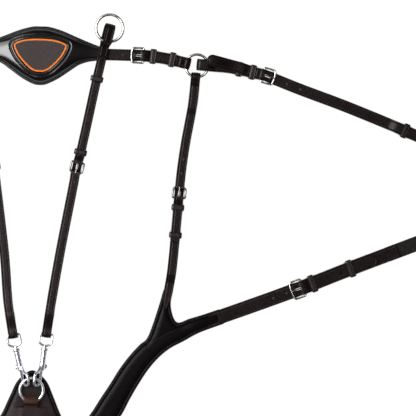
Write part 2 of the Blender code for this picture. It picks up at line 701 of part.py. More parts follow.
def add_bolt(name, frame):
    """Spring bolt: a rod with a thumb knob that stands out of the barrel's slot."""
    tip = HOOK_TIP + CLEAR
    edge = CHAMFER * 0.7
    rod = turned_mesh([(tip, 0.0), (tip, BOLT - edge), (tip + edge, BOLT), (BOLT_BACK, BOLT),
                       (BOLT_BACK, 0.0)])
    bolt = add_piece(name, rod, STEEL)
    bolt.matrix_world = frame
    root = BOLT * 0.6
    neck = BARREL + 0.7 * MM
    crown_at = BARREL + 2.8 * MM
    top = BARREL + 3.8 * MM
    knob = turned_mesh([(root, 0.0), (root, KNOB), (neck, KNOB), (neck + 0.5 * MM, KNOB * 1.7),
                        (crown_at, KNOB * 1.9), (top, KNOB * 1.2), (top, 0.0)])
    knob.transform(Matrix.Translation((KNOB_AT, 0, 0)) @ Matrix.Rotation(-pi / 2, 4, "Z"))
    knob.transform(frame)
    boolean(bolt, add_tool(knob, "knob"), "UNION")
    smooth(bolt, 40)


# Assemblies of one side


def build_junction(name, side):
    spot = (JUNCTION_AT[0] * MM * side, JUNCTION_AT[1] * MM, RING_LEVEL)
    add_ring("junction_ring_" + name, JUNCTION_RING, spot)


def build_wither(name, side):
    line = StrapLine(WITHER_LINE, side)
    s_front = line.nearest(WITHER_FRONT, side)
    s_heel = s_front - LONG_BUCKLE
    keepers = [line.nearest(p, side) for p in WITHER_KEEPERS]
    path = ring_chape_path(s_heel, WITHER_LOOP)
    add_chape("wither_chape_" + name, line, path, MEDIUM, s_heel, keepers, closed=True)
    add_buckle("wither", name, line, s_heel, LONG_BUCKLE, MEDIUM)
    return line, s_heel, s_front


def build_shoulder(name, side):
    line = StrapLine(SHOULDER_LINE, side)
    s_front = line.nearest(SHOULDER_FRONT, side)
    s_heel = s_front - SHORT_BUCKLE
    keepers = [line.nearest(p, side) for p in SHOULDER_KEEPERS]
    s_upper = line.nearest(SHOULDER_UPPER_END, side)
    s_up = line.nearest(SHOULDER_ON_YOKE, side)
    on_yoke = YOKE_THICK + CLEAR + PLY / 2
    s_down = s_up + RAMP * 1.5
    lower_path = [*ramp(s_down, LOWER_PLY, s_up, on_yoke, 3), (FOLD_STEP, on_yoke)]
    path = sewn_chape_path(s_upper, lower_path, s_heel)
    add_chape("shoulder_chape_" + name, line, path, NARROW, s_heel, keepers)
    add_buckle("shoulder", name, line, s_heel, SHORT_BUCKLE, NARROW)
    s_tip = line.nearest(SHOULDER_TIP, side)
    s_ring = line.length
    path = billet_path(s_tip, s_heel, s_front)
    path += fold_path(s_ring - SHOULDER_FOLD, s_ring, RING_LEVEL, STRAP_EYE)
    mesh = strap_mesh(line, path, NARROW, BILLET, tip=s_tip)
    strap = add_piece("shoulder_strap_" + name, mesh, LEATHER)
    punch(strap, line, s_heel, s_front, [s_front + HOLE_PITCH * k for k in (1, 2)])


def build_saddle(name, side):
    line = StrapLine(SADDLE_LINE, side)
    s_front = line.nearest(SADDLE_FRONT, side)
    s_heel = s_front - LONG_BUCKLE
    keepers = [line.nearest(p, side) for p in SADDLE_KEEPERS]
    path = ring_chape_path(s_heel, SADDLE_LOOP)
    add_chape("saddle_chape_" + name, line, path, MEDIUM, s_heel, keepers, closed=True,
              free=line.nearest(SADDLE_FREE_KEEPER, side))
    add_buckle("saddle", name, line, s_heel, LONG_BUCKLE, MEDIUM)
    billet = StrapLine(SADDLE_BILLET, side)
    s_front = billet.nearest(SADDLE_FRONT, side)
    s_heel = s_front - LONG_BUCKLE
    s_keeper = billet.nearest(SADDLE_END_KEEPER, side)
    s_off_loop, s_on_keeper, s_off_keeper, s_laid = SADDLE_LAID
    path = [(0, OVER_LOOP), *ramp(s_off_loop, OVER_LOOP, s_on_keeper, OVER_KEEPER, 4),
            *ramp(s_off_keeper, OVER_KEEPER, s_laid, ON_STACK, 3),
            *billet_path(s_laid, s_heel, s_front)[1:]]
    path += fold_path(s_keeper - SADDLE_FOLD, billet.length, SNAP_LEVEL, STRAP_EYE)
    mesh = strap_mesh(billet, path, MEDIUM, BILLET, tip=0)
    strap = add_piece("saddle_strap_" + name, mesh, LEATHER)
    punch(strap, billet, s_heel, s_front, [s_front + HOLE_PITCH * k for k in (1, 2)])
    top_in = FOLD_UPPER + BILLET / 2 + CLEAR
    boolean(strap, keeper_tool(billet, s_keeper, MEDIUM, BILLET, top_in), "UNION")
    frame = saddle_snap_frame(line, side)
    add_snap_body("saddle_snap_body_" + name, frame, MEDIUM)
    add_bolt("saddle_snap_bolt_" + name, frame)


def saddle_snap_frame(line, side):
    """The snap lies in line with the strap's end, its eye bar in the strap's fold."""
    outward = line.heading(line.length - HOLE_PITCH / 4)
    along = Vector((-outward.x, -outward.y, 0))
    return snap_frame(line.at(line.length, SNAP_LEVEL) - along * EYE_TO, along, pi / 2 * side)


def build_girth(name, side):
    line = StrapLine(GIRTH_LINE, side)
    s_front = line.nearest(GIRTH_FRONT, side)
    s_heel = s_front - LONG_BUCKLE
    s_seam = line.nearest(ELASTIC_SEAM, side)
    s_far = line.nearest(ELASTIC_END, side)
    keepers = [line.nearest(p, side) for p in GIRTH_KEEPERS]
    path = sewn_chape_path(s_seam - SEAM_OVERLAP / 3, [(s_seam + SEAM_OVERLAP, LOWER_PLY)], s_heel)
    add_chape("girth_chape_" + name, line, path, WIDE, s_heel, keepers)
    add_buckle("girth", name, line, s_heel, LONG_BUCKLE, WIDE)
    level = CLEAR / 2 + ELASTIC_THICK / 2
    s_inner = s_seam + SEAM_OVERLAP - 2 * CLEAR
    s_outer = s_far - SEAM_OVERLAP
    elastic = strap_mesh(line, [(s_outer, level), (s_inner, level)], ELASTIC_WIDE, ELASTIC_THICK)
    add_piece("girth_elastic_" + name, elastic, WEBBING)
    middle = LOOP_HALF + LOWER_PLY
    top = middle + LOOP_HALF
    loop_path = [(s_far + SEAM_OVERLAP / 3, UPPER_PLY), (s_outer + 1 * MM, UPPER_PLY),
                 *ramp(s_outer - SEAM_OVERLAP / 2, UPPER_PLY, s_outer - SEAM_OVERLAP * 1.3, top, 4),
                 *arc(LOOP_HALF, middle, LOOP_HALF, 90, 270),
                 (s_outer - 2 * CLEAR - PLY / 2, LOWER_PLY)]
    loop = strap_mesh(line, loop_path, WIDE, PLY)
    add_piece("girth_loop_" + name, loop, LEATHER)
    return line, s_heel, s_front


def martingale_line(side):
    s_flat = MARTINGALE_FRONT + SEAM_OVERLAP
    points = MARTINGALE_RIGHT if side > 0 else MARTINGALE_LEFT
    return StrapLine(points, rise=lambda s: MARTINGALE_RISE * max(1 - s / s_flat, 0))


def martingale_snap_axis(line, side):
    """Middle of the snap's throat and the way from there to its eye."""
    grip = HOOK_ANGLE[side]
    wire = Vector((cos(grip), sin(grip), 0)) * CHEST_RING
    end = line.plan(line.length)
    toward = (Vector((end.x, end.y, 0)) - wire).normalized()
    inward = Vector((0, 0, 1)).cross(toward) * side
    spot = wire - inward * WIRE_IN_HOOK * sin(SNAP_ROLL)
    spot.z = CHEST_LEVEL - WIRE_IN_HOOK * cos(SNAP_ROLL)
    return spot, Vector((end.x, end.y, spot.z)) - spot


def build_martingale(name, side):
    line = martingale_line(side)
    s_front = MARTINGALE_FRONT
    s_heel = s_front - SHORT_BUCKLE
    path = ring_chape_path(s_heel, MARTINGALE_LOOP)
    add_chape("martingale_chape_" + name, line, path, NARROW, s_heel, MARTINGALE_KEEPERS, closed=True)
    add_buckle("martingale", name, line, s_heel, SHORT_BUCKLE, NARROW)
    outward = -line.heading(0)
    spot = line.at(0, RING_LEVEL) + Vector((outward.x, outward.y, 0)) * MARTINGALE_RING
    add_ring("martingale_ring_" + name, MARTINGALE_RING, spot)
    spot, along = martingale_snap_axis(line, side)
    frame = snap_frame(spot, along, SNAP_ROLL * side)
    add_snap_body("martingale_snap_body_" + name, frame)
    add_bolt("martingale_snap_bolt_" + name, frame)
    eye = add_piece("martingale_snap_eye_" + name, eye_mesh(NARROW), STEEL)
    eye.matrix_world = snap_frame(spot, along, pi / 2)
    smooth(eye, 40)
    s_eye = line.length + along.length - EYE_TO + EYE_EASE * 1.5
    small_eye = SNAP_WIRE + 2 * CLEAR + BILLET / 2
    s_neck = s_eye - SNAP_WIRE * 2.4
    fold_end = s_eye - MARTINGALE_FOLD
    fold_step = fold_end + FOLD_STEP
    path = billet_path(MARTINGALE_TIP, s_heel, s_front)
    path += [*ramp(fold_end - MARTINGALE_FOLD, FLAT, fold_end, FOLD_UPPER, 3),
             *ramp(fold_step, FOLD_UPPER, s_neck, spot.z + small_eye, 5),
             *arc(s_eye, spot.z, small_eye, 90, -90),
             *ramp(s_neck, spot.z - small_eye, fold_step, FLAT, 5)]
    mesh = strap_mesh(line, path, NARROW, BILLET, tip=MARTINGALE_TIP)
    strap = add_piece("martingale_strap_" + name, mesh, LEATHER)
    holes = [s_front + HOLE_PITCH * 0.7] + [MARTINGALE_HOLES + HOLE_PITCH * k for k in range(4)]
    punch(strap, line, s_heel, s_front, holes)


# Middle pieces


def outline_with_mirror(half, scale=MM):
    right = [(p[0] * scale, p[1] * scale, *p[2:]) for p in half]
    left = [(-p[0], *p[1:]) for p in reversed(right) if p[0] > 1e-9]
    return right + left


def build_yoke(girths):
    band = plate(outline_with_mirror(YOKE_OUTLINE), [], YOKE_THICK, 1, YOKE_EDGE)
    yoke = add_piece("yoke", band, LEATHER)
    for line, s_heel, s_front, side in girths:
        s_tip = line.nearest(GIRTH_TIP, side)
        s_root = line.nearest(GIRTH_ROOT, side)
        path = billet_path(s_tip, s_heel, s_front)
        path += [*ramp(s_root - RAMP * 1.8, FLAT, s_root - FOLD_STEP, YOKE_THICK / 2, 3),
                 (line.length, YOKE_THICK / 2)]
        billet = add_tool(strap_mesh(line, path, WIDE, BILLET, tip=s_tip), "billet")
        punch(billet, line, s_heel, s_front, [s_front + HOLE_PITCH * k for k in (1, 2)])
        boolean(yoke, billet, "UNION")


def edge_at(knots, x):
    """Height of an outline given by a few knots, between them by a smooth cubic."""
    points = [(-knots[1][0], knots[1][1]), *knots, (knots[-1][0] * 2 - knots[-2][0],
                                                    knots[-1][1] * 2 - knots[-2][1])]
    for a, b, c, d in zip(points, points[1:], points[2:], points[3:]):
        if x <= c[0] or c == knots[-1]:
            wide = c[0] - b[0]
            t = (x - b[0]) / wide
            slope_b = (c[1] - a[1]) / (c[0] - a[0]) * wide
            slope_c = (d[1] - b[1]) / (d[0] - b[0]) * wide
            return (b[1] * (2 * t ** 3 - 3 * t ** 2 + 1) + slope_b * (t ** 3 - 2 * t ** 2 + t)
                    + c[1] * (3 * t ** 2 - 2 * t ** 3) + slope_c * (t ** 3 - t ** 2))
    return knots[-1][1]


def crown(inset):
    """Height of the pad's cushion at a distance in from its seam."""
    share = 1 - min(inset / PAD_ROLL, 1)
    return PAD_EDGE + (PAD_HIGH - PAD_EDGE) * sqrt(max(1 - share ** 2.2, 0))


def pad_mesh():
    """The cushion: a grid between its two seams, raised towards the middle, closed below."""
    half_long = PAD_TOP[-1][0]
    tail_long = 40
    mesh = bpy.data.meshes.new("pad")
    work = bmesh.new()
    bmesh.ops.create_grid(work, x_segments=22, y_segments=8, size=1)
    for vert in work.verts:
        x = vert.co.x * half_long
        high = edge_at(PAD_TOP, abs(x))
        low = edge_at(PAD_BOTTOM, abs(x))
        share = sin(vert.co.y * pi / 2) / 2 + 0.5
        y = low + (high - low) * share
        slope = hypot(1, edge_at(PAD_TOP, abs(x) + 1) - high)
        inset = min(high - y, y - low) / slope
        tail = min((half_long - abs(x)) / tail_long, 1)
        vert.co = (x * MM, y * MM + PAD_Y, PAD_EDGE + (crown(inset * MM) - PAD_EDGE) * tail)
    made = bmesh.ops.extrude_face_region(work, geom=work.faces[:])
    for item in made["geom"]:
        if isinstance(item, bmesh.types.BMVert):
            item.co.z = 0
    bmesh.ops.recalc_face_normals(work, faces=work.faces)
    under = [v for v in work.verts if v.co.z < 1e-6]
    under_edges = [e for e in work.edges if max(v.co.z for v in e.verts) < 1e-6]
    bmesh.ops.dissolve_limit(work, angle_limit=radians(0.5), verts=under, edges=under_edges)
    bmesh.ops.triangulate(work, faces=work.faces)
    work.to_mesh(mesh)
    work.free()
    return mesh


def build_wither_pad(withers):
    pad = add_piece("wither_pad", pad_mesh(), LEATHER)
    for line, s_heel, s_front, side in withers:
        s_tip = line.nearest(WITHER_TIP, side)
        path = [*billet_path(s_tip, s_heel, s_front), (line.length - HOLE_PITCH, FLAT),
                (line.length, FLAT + CLEAR)]
        billet = add_tool(strap_mesh(line, path, MEDIUM, BILLET, tip=s_tip), "billet")
        punch(billet, line, s_heel, s_front, [s_front + HOLE_PITCH * 0.7])
        boolean(pad, billet, "UNION")
    smooth(pad, 40)
    patch = plate(outline_with_mirror(BADGE_OUTLINE), [], BADGE_THICK, 2, BADGE_THICK / 3)
    badge = add_piece("wither_badge", patch, PATCH)
    badge.location = (0, PAD_Y, PAD_HIGH + CLEAR)


def build_chest():
    add_ring("chest_ring", CHEST_RING, (0, 0, CHEST_LEVEL))
    line = StrapLine([(0, -CHEST_RING / MM), (0, -30), (0, -60)])
    deviation = CHEST_RING - TAB_EYE
    radius = RING_WIRE + deviation / 2 + EYE_EASE + PLY / 2
    base = YOKE_THICK + CLEAR
    seam_at = 14 * MM
    path = [(TAB_LONG, base + LOWER_PLY), (seam_at, base + LOWER_PLY),
            *ramp(seam_at - FOLD_STEP, base + LOWER_PLY, FOLD_STEP / 2, CHEST_LEVEL - radius, 3),
            *arc(-deviation / 2, CHEST_LEVEL, radius, -90, -270, 7),
            *ramp(0, CHEST_LEVEL + radius, seam_at, base + UPPER_PLY, 4),
            (TAB_LONG + FOLD_STEP, base + UPPER_PLY)]
    add_piece("chest_tab", strap_mesh(line, path, TAB_WIDE, PLY), LEATHER)


def build_girth_strap():
    """Strap from under the chest with the sewn loop that the girth passes through."""
    line = StrapLine([(0, GIRTH_STRAP_TO / MM), (0, -300), (0, GIRTH_STRAP_FROM / MM)])
    middle = LOWER_PLY + LOOP_HALF
    top = middle + LOOP_HALF
    s_sewn = GIRTH_LOOP_LONG
    on_yoke = YOKE_THICK + CLEAR + PLY / 2
    s_yoke = line.nearest(GIRTH_STRAP_ON_YOKE)
    path = [(s_sewn + SHOULDER_FOLD, LOWER_PLY), (s_sewn, LOWER_PLY),
            *arc(LOOP_HALF, middle, LOOP_HALF, -90, -270),
            *ramp(s_sewn - RAMP, top, s_sewn + RAMP, UPPER_PLY, 4),
            (s_sewn + SHOULDER_FOLD, UPPER_PLY),
            *ramp(s_yoke - RAMP * 1.8, UPPER_PLY, s_yoke + FOLD_STEP, on_yoke, 4),
            (line.length + GIRTH_STRAP_TAIL, on_yoke)]
    add_piece("girth_strap", strap_mesh(line, path, GIRTH_STRAP_WIDE, PLY), LEATHER)


def build():
    girths = []
    withers = []
    for name, side in SIDES.items():
        build_junction(name, side)
        withers.append((*build_wither(name, side), side))
        build_shoulder(name, side)
        build_saddle(name, side)
        girths.append((*build_girth(name, side), side))
        build_martingale(name, side)
    build_yoke(girths)
    build_wither_pad(withers)
    build_chest()
    build_girth_strap()


build()
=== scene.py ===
from math import cos, hypot, pi, radians, sin, sqrt

import bmesh
import bpy
import numpy as np
from mathutils import Matrix, Vector
from mathutils.geometry import delaunay_2d_cdt


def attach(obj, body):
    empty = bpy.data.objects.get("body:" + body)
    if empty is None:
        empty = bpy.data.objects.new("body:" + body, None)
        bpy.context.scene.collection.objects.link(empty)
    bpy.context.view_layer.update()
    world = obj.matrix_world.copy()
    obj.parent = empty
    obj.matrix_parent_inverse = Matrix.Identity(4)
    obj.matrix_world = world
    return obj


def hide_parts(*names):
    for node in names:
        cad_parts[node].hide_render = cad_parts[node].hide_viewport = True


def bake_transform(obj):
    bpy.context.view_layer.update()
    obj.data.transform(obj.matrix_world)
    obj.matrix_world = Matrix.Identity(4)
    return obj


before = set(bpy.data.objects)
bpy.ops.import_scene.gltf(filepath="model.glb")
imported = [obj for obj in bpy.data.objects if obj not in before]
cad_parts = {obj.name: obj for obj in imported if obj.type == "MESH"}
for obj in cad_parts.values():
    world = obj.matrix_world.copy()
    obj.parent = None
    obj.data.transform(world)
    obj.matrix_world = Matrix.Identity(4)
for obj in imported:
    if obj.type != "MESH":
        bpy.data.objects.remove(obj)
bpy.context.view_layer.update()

mm = 0.001
sides = {"right": 1, "left": -1}

# leather stock: plies, billets, and the way their edges are rounded and creased
leather = {
    "clear": 0.3 * mm,
    "ply": 1.8 * mm,
    "billet": 2.4 * mm,
    "edgeRound": 0.75 * mm,
    "crease": 2.5 * mm,        # crease line, in from the cut edge
    "creaseWide": 0.28 * mm,
    "creaseDeep": 0.34 * mm,
    "shoulder": 0.22 * mm,     # the rim outside the crease lies this much lower
    "narrow": 13 * mm,
    "medium": 16 * mm,
    "wide": 20 * mm,
}
wire = {"buckle": 1.5 * mm, "tongue": 1.0 * mm, "ring": 2 * mm, "snap": 1.7 * mm, "hook": 1.9 * mm}

clear = leather["clear"]
ply = leather["ply"]
billet = leather["billet"]

# levels above the table inside one strap stack
lowerPly = ply / 2
upperPly = lowerPly + ply + clear
stackTop = upperPly + ply / 2
heelLevel = wire["tongue"] * 2 + wire["buckle"] + clear * 3
heelEye = wire["buckle"] + clear + ply / 2
heelTop = heelLevel + heelEye - clear / 2
onStack = stackTop + clear + billet / 2
flat = 0.05 * mm + billet / 2
foldUpper = flat + billet + clear
tongueReach = wire["buckle"] + clear + wire["tongue"]
overHeel = heelLevel + tongueReach + wire["tongue"] + 2 * clear + billet / 2
ringEye = 3.9 * mm + ply / 2
strapEye = 3.7 * mm + billet / 2
ringLevel = strapEye + flat + 0.1 * mm
snapLevel = strapEye + flat
yokeThick = 6.5 * mm
onYoke = yokeThick + clear + ply / 2
sunk = 0.1 * mm                 # sewing away from a crease sinks in by this much
rimOnBillet = flat + billet / 2 - leather["shoulder"]
rimOnStack = stackTop - leather["shoulder"]

# lengths along the straps
rampLong = 9 * mm
foldRamp = 7 * mm
heelRamp = 2 * mm
foldStep = 2 * mm
shortBuckle = 14 * mm
longBuckle = 16 * mm
holePitch = 20 * mm
girthEye = 3.4 * mm

junctionAt = (219.4, 458.7)
junctionRadius = 15.9 * mm
martingaleRadius = 19 * mm
chestRadius = 16.2 * mm
chestLevel = 14.2 * mm


# Curves and profiles

def smoothStep(t):
    t = np.clip(t, 0, 1)
    return t * t * (3 - 2 * t)


def bell(x, wide):
    return np.exp(-(x / wide) ** 2)


def rounded(inset, reach):
    # 0 at an edge, rising as a quarter circle to 1
    return np.sqrt(np.clip(1 - (1 - np.clip(inset / reach, 0, 1)) ** 2, 0, 1))


def sideways(way):
    return np.column_stack([-way[:, 1], way[:, 0]])


def headings(points, closed=False):
    # the direction of a line at each of its points
    ahead, behind = np.roll(points, -1, 0), np.roll(points, 1, 0)
    if not closed:
        ahead[-1], behind[0] = points[-1], points[0]
    way = ahead - behind
    return way / np.linalg.norm(way, axis=1)[:, None]


def bend(a, b, c, d, steps):
    # the smooth run from b towards c, with a before it and d after it
    t = (np.arange(steps) / steps)[:, None]
    return (b * 2 + (c - a) * t + (a * 2 - b * 5 + c * 4 - d) * t ** 2 + (b * 3 - a - c * 3 + d) * t ** 3) / 2


def smoothLine(points, closed=False, steps=6):
    points = np.array(points, float)
    if closed:
        knots = [points[-1], *points, points[0], points[1]]
    else:
        knots = [points[0] * 2 - points[1], *points, points[-1] * 2 - points[-2]]
    runs = [bend(*four, steps) for four in zip(knots, knots[1:], knots[2:], knots[3:])]
    return np.vstack(runs if closed else [*runs, points[-1:]])


def ramp(sFrom, levelFrom, sTo, levelTo, steps=14):
    t = np.linspace(0, 1, steps + 1)
    return list(zip(sFrom + (sTo - sFrom) * t, levelFrom + (levelTo - levelFrom) * smoothStep(t)))


def arc(sMid, level, radius, turnFrom, turnTo, steps=20):
    turns = np.radians(np.linspace(turnFrom, turnTo, steps + 1))
    return list(zip(sMid + radius * np.cos(turns), level + radius * np.sin(turns)))


def runOut(path, closed=False, gap=3 * mm, soften=2):
    # extra points on long runs, none too close together, and soft bends as leather makes them
    least = 0.2 * mm
    points = [path[0]]
    for a, b in zip(path, path[1:] + (path[:1] if closed else [])):
        count = int(hypot(b[0] - a[0], b[1] - a[1]) / gap)
        points += [(a[0] + (b[0] - a[0]) * k / (count + 1), a[1] + (b[1] - a[1]) * k / (count + 1))
                   for k in range(1, count + 1)]
        if hypot(b[0] - points[-1][0], b[1] - points[-1][1]) > least:
            points.append(b)
    if closed and hypot(points[-1][0] - points[0][0], points[-1][1] - points[0][1]) < least:
        points.pop()
    line = np.array(points)
    for _ in range(soften):
        mean = (np.roll(line, 1, 0) + np.roll(line, -1, 0)) / 4 + line / 2
        if not closed:
            mean[0], mean[-1] = line[0], line[-1]
        line = mean
    return line


class StrapLine:
    # straps are drawn flat as (along, across, level) and then bent along their line
    lineSteps = 24
    overrun = 0.3
    reach = 4 * mm

    def __init__(self, points, side=1, rise=None, roll=None, rollLevel=0.0):
        line = smoothLine(np.array(points, float) * mm, steps=self.lineSteps)
        line[:, 0] *= side
        steps = np.hypot(*np.diff(line, axis=0).T)
        far = np.concatenate([[0.0], np.cumsum(steps)])
        self.length = far[-1]
        before = line[0] + (line[0] - line[1]) / steps[0] * self.overrun
        after = line[-1] + (line[-1] - line[-2]) / steps[-1] * self.overrun
        self.line = np.vstack([before, line, after])
        self.far = np.concatenate([[-self.overrun], far, [far[-1] + self.overrun]])
        self.side = side
        self.rise = rise or (lambda s: s * 0.0)
        self.roll = roll or (lambda s: s * 0.0)
        self.rollLevel = rollLevel

    def plan(self, s):
        return np.column_stack([np.interp(s, self.far, self.line[:, k]) for k in (0, 1)])

    def heading(self, s):
        way = self.plan(s + self.reach) - self.plan(s - self.reach)
        return way / np.hypot(*way.T)[:, None]

    def place(self, local):
        s, x, level = np.array(local, float).reshape(-1, 3).T
        turn = self.roll(s)
        high = level - self.rollLevel
        across = x * np.cos(turn) - high * np.sin(turn)
        level = self.rollLevel + x * np.sin(turn) + high * np.cos(turn)
        spot = self.plan(s) + sideways(self.heading(s)) * across[:, None]
        return np.column_stack([spot, self.rise(s) + level])

    def at(self, s, level):
        return Vector(self.place([(s, 0.0, level)])[0])

    def way(self, s):
        return Vector((*self.heading(np.array([s]))[0], 0))

    def nearest(self, *points):
        # distances along the line of points given for the right side
        steps = np.linspace(0, self.length, 2001)
        found = []
        for x, y in points:
            gap = self.plan(steps) - np.array((x * self.side, y)) * mm
            found.append(steps[np.argmin(np.hypot(*gap.T))])
        return found if len(found) > 1 else found[0]

    def axes(self, s, level):
        step = 3 * mm
        along = (self.at(s + step, 0) - self.at(s - step, 0)).normalized()
        way = self.way(s)
        across = Vector((-way.y, way.x, 0))
        turn = Matrix((along, across, along.cross(across))).transposed().to_4x4()
        return Matrix.Translation(self.at(s, level)) @ turn


# Meshes

def plainMesh(name, points, edges=(), faces=()):
    mesh = bpy.data.meshes.new(name)
    mesh.from_pydata([tuple(p) for p in points], edges, faces)
    return mesh


def giveValues(mesh, label, values):
    # one number or one vector at each point
    values = np.array(values, np.float32)
    kind, key = ("FLOAT_VECTOR", "vector") if values.ndim > 1 else ("FLOAT", "value")
    layer = mesh.attributes.get(label) or mesh.attributes.new(label, kind, "POINT")
    layer.data.foreach_set(key, values.ravel())


def meshOf(name, points, faces, inset=None, coords=None):
    weld = 0.002 * mm
    mesh = plainMesh(name, points, faces=faces)
    if inset is not None:
        giveValues(mesh, "edge", np.exp(-(np.clip(inset, 0, None) / (1.9 * mm)) ** 4))
        # painted highlight: a lighter line just inside the crease, through the sheen attribute
        giveValues(mesh, "paintedSheen", bell(inset - 3.1 * mm, 0.55 * mm))
    if coords is not None:
        giveValues(mesh, "lay", coords)
    work = bmesh.new()
    work.from_mesh(mesh)
    bmesh.ops.remove_doubles(work, verts=work.verts, dist=weld)
    bmesh.ops.recalc_face_normals(work, faces=work.faces)
    work.to_mesh(mesh)
    work.free()
    return mesh


def gridFaces(rows, wide, closed=False, capped=True):
    # quads between rows of points, where each row is a loop
    faces = []
    for row in range(rows if closed else rows - 1):
        a, b = row * wide, (row + 1) % rows * wide
        faces += [(a + k, b + k, b + (k + 1) % wide, a + (k + 1) % wide) for k in range(wide)]
    if capped and not closed:
        faces += [tuple(range(wide)), tuple(reversed(range((rows - 1) * wide, rows * wide)))]
    return faces


def joined(name, parts):
    # several meshes as one, each keeping its attributes
    whole = bmesh.new()
    for part in parts:
        whole.from_mesh(part)
    mesh = bpy.data.meshes.new(name)
    whole.to_mesh(mesh)
    whole.free()
    return mesh


def newObject(name, data):
    item = bpy.data.objects.new(name, data)
    bpy.context.scene.collection.objects.link(item)
    return item


def shadeEdges(mesh, angle=38):
    mesh.shade_smooth()
    mesh.set_sharp_from_angle(angle=radians(angle))


def addObject(name, mesh, material, angle=38):
    shadeEdges(mesh, angle)
    if not mesh.materials:
        mesh.materials.append(material)
    return newObject(name, mesh)


def settle(piece, body, slot, *nodes):
    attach(piece, body)
    if nodes:
        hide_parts(*nodes)
    return piece


def bakeNodes(piece):
    # turns a piece with its modifiers into a plain mesh
    graph = bpy.context.evaluated_depsgraph_get()
    graph.update()
    mesh = bpy.data.meshes.new_from_object(piece.evaluated_get(graph))
    piece.modifiers.clear()
    old = piece.data
    piece.data = mesh
    bpy.data.meshes.remove(old)
    return mesh


def modified(mesh, **kinds):
    # the mesh after one modifier of each kind, with its settings
    piece = newObject("work", mesh)
    for kind, settings in kinds.items():
        modifier = piece.modifiers.new(kind, kind)
        for key, value in settings.items():
            setattr(modifier, key, value)
    made = bakeNodes(piece)
    bpy.data.objects.remove(piece)
    return made


def boolMesh(mesh, toolMesh, operation="DIFFERENCE"):
    tool = newObject("tool", toolMesh)
    made = modified(mesh, BOOLEAN={"operation": operation, "solver": "EXACT", "object": tool})
    bpy.data.objects.remove(tool)
    return made


# Node helpers

def setInputs(node, values):
    # a socket is linked, any other value is set
    for key, value in values.items():
        if isinstance(value, bpy.types.NodeSocket):
            node.id_data.links.new(value, node.inputs[key])
        else:
            node.inputs[key].default_value = value


def addNode(tree, kind, values=None, **settings):
    # a kind without a family is a shader node
    node = tree.nodes.new(kind if "Node" in kind else "ShaderNode" + kind)
    for key, value in settings.items():
        setattr(node, key, value)
    setInputs(node, values or {})
    return node


def newGroup(name, kind, inputs, outputs):
    # each socket is given by its kind, or by its first value: a number or a colour
    tree = bpy.data.node_groups.new(name, kind)
    for side, sockets in (("INPUT", inputs), ("OUTPUT", outputs)):
        for label, value in sockets.items():
            kind = value if isinstance(value, str) else "Float" if isinstance(value, float) else "Color"
            socket = tree.interface.new_socket(label, in_out=side, socket_type="NodeSocket" + kind)
            if kind != value:
                socket.default_value = value
    return tree, tree.nodes.new("NodeGroupInput").outputs, tree.nodes.new("NodeGroupOutput")


def calc(operation, *values):
    # this helper and the next three find the tree from the socket they are given
    return addNode(values[0].id_data, "Math", dict(enumerate(values)), operation=operation).outputs[0]


def noise(spot, scale, detail, roughness=0.5):
    return addNode(spot.id_data, "TexNoise", {"Vector": spot, "Scale": scale, "Detail": detail,
                                              "Roughness": roughness}).outputs


def mapRange(value, fromMin, fromMax, toMin, toMax, **settings):
    return addNode(value.id_data, "MapRange", {"Value": value, "From Min": fromMin, "From Max": fromMax,
                                               "To Min": toMin, "To Max": toMax}, **settings).outputs[0]


def blended(a, b, factor=1.0, blend="MIX"):
    tree = next(value.id_data for value in (factor, a, b) if isinstance(value, bpy.types.NodeSocket))
    return addNode(tree, "Mix", {"Factor": factor, "A": a, "B": b},
                   data_type="RGBA", blend_type=blend).outputs["Result"]


def objectSpot(tree):
    return addNode(tree, "TexCoord").outputs["Object"]


def layer(tree, label, output="Fac"):
    return addNode(tree, "Attribute", attribute_name=label).outputs[output]


# Shared effects

def buildGrain():
    # hide grain: small rounded cells, pores and slow unevenness
    tree, into, out = newGroup("hideGrain", "ShaderNodeTree", {"Cells": 2600.0, "Depth": 1.0},
                               {"Height": "Float", "Mottle": "Float"})
    spot = objectSpot(tree)
    warp = noise(spot, 900.0, 2.0)["Color"]
    shift = addNode(tree, "VectorMath", {0: warp, 1: (0.3 * mm,) * 3, 2: spot}, operation="MULTIPLY_ADD")
    cells = addNode(tree, "TexVoronoi", {"Vector": shift.outputs[0], "Scale": into["Cells"]},
                    feature="DISTANCE_TO_EDGE")
    bumps = mapRange(cells.outputs["Distance"], 0.0, 0.28, 0.0, 1.0)
    pores = calc("MULTIPLY", noise(spot, 5200.0, 3.0)[0], 0.45)
    setInputs(out, {"Height": calc("MULTIPLY", calc("ADD", bumps, pores), into["Depth"]),
                    "Mottle": noise(spot, 38.0, 4.0, 0.6)[0]})
    return tree


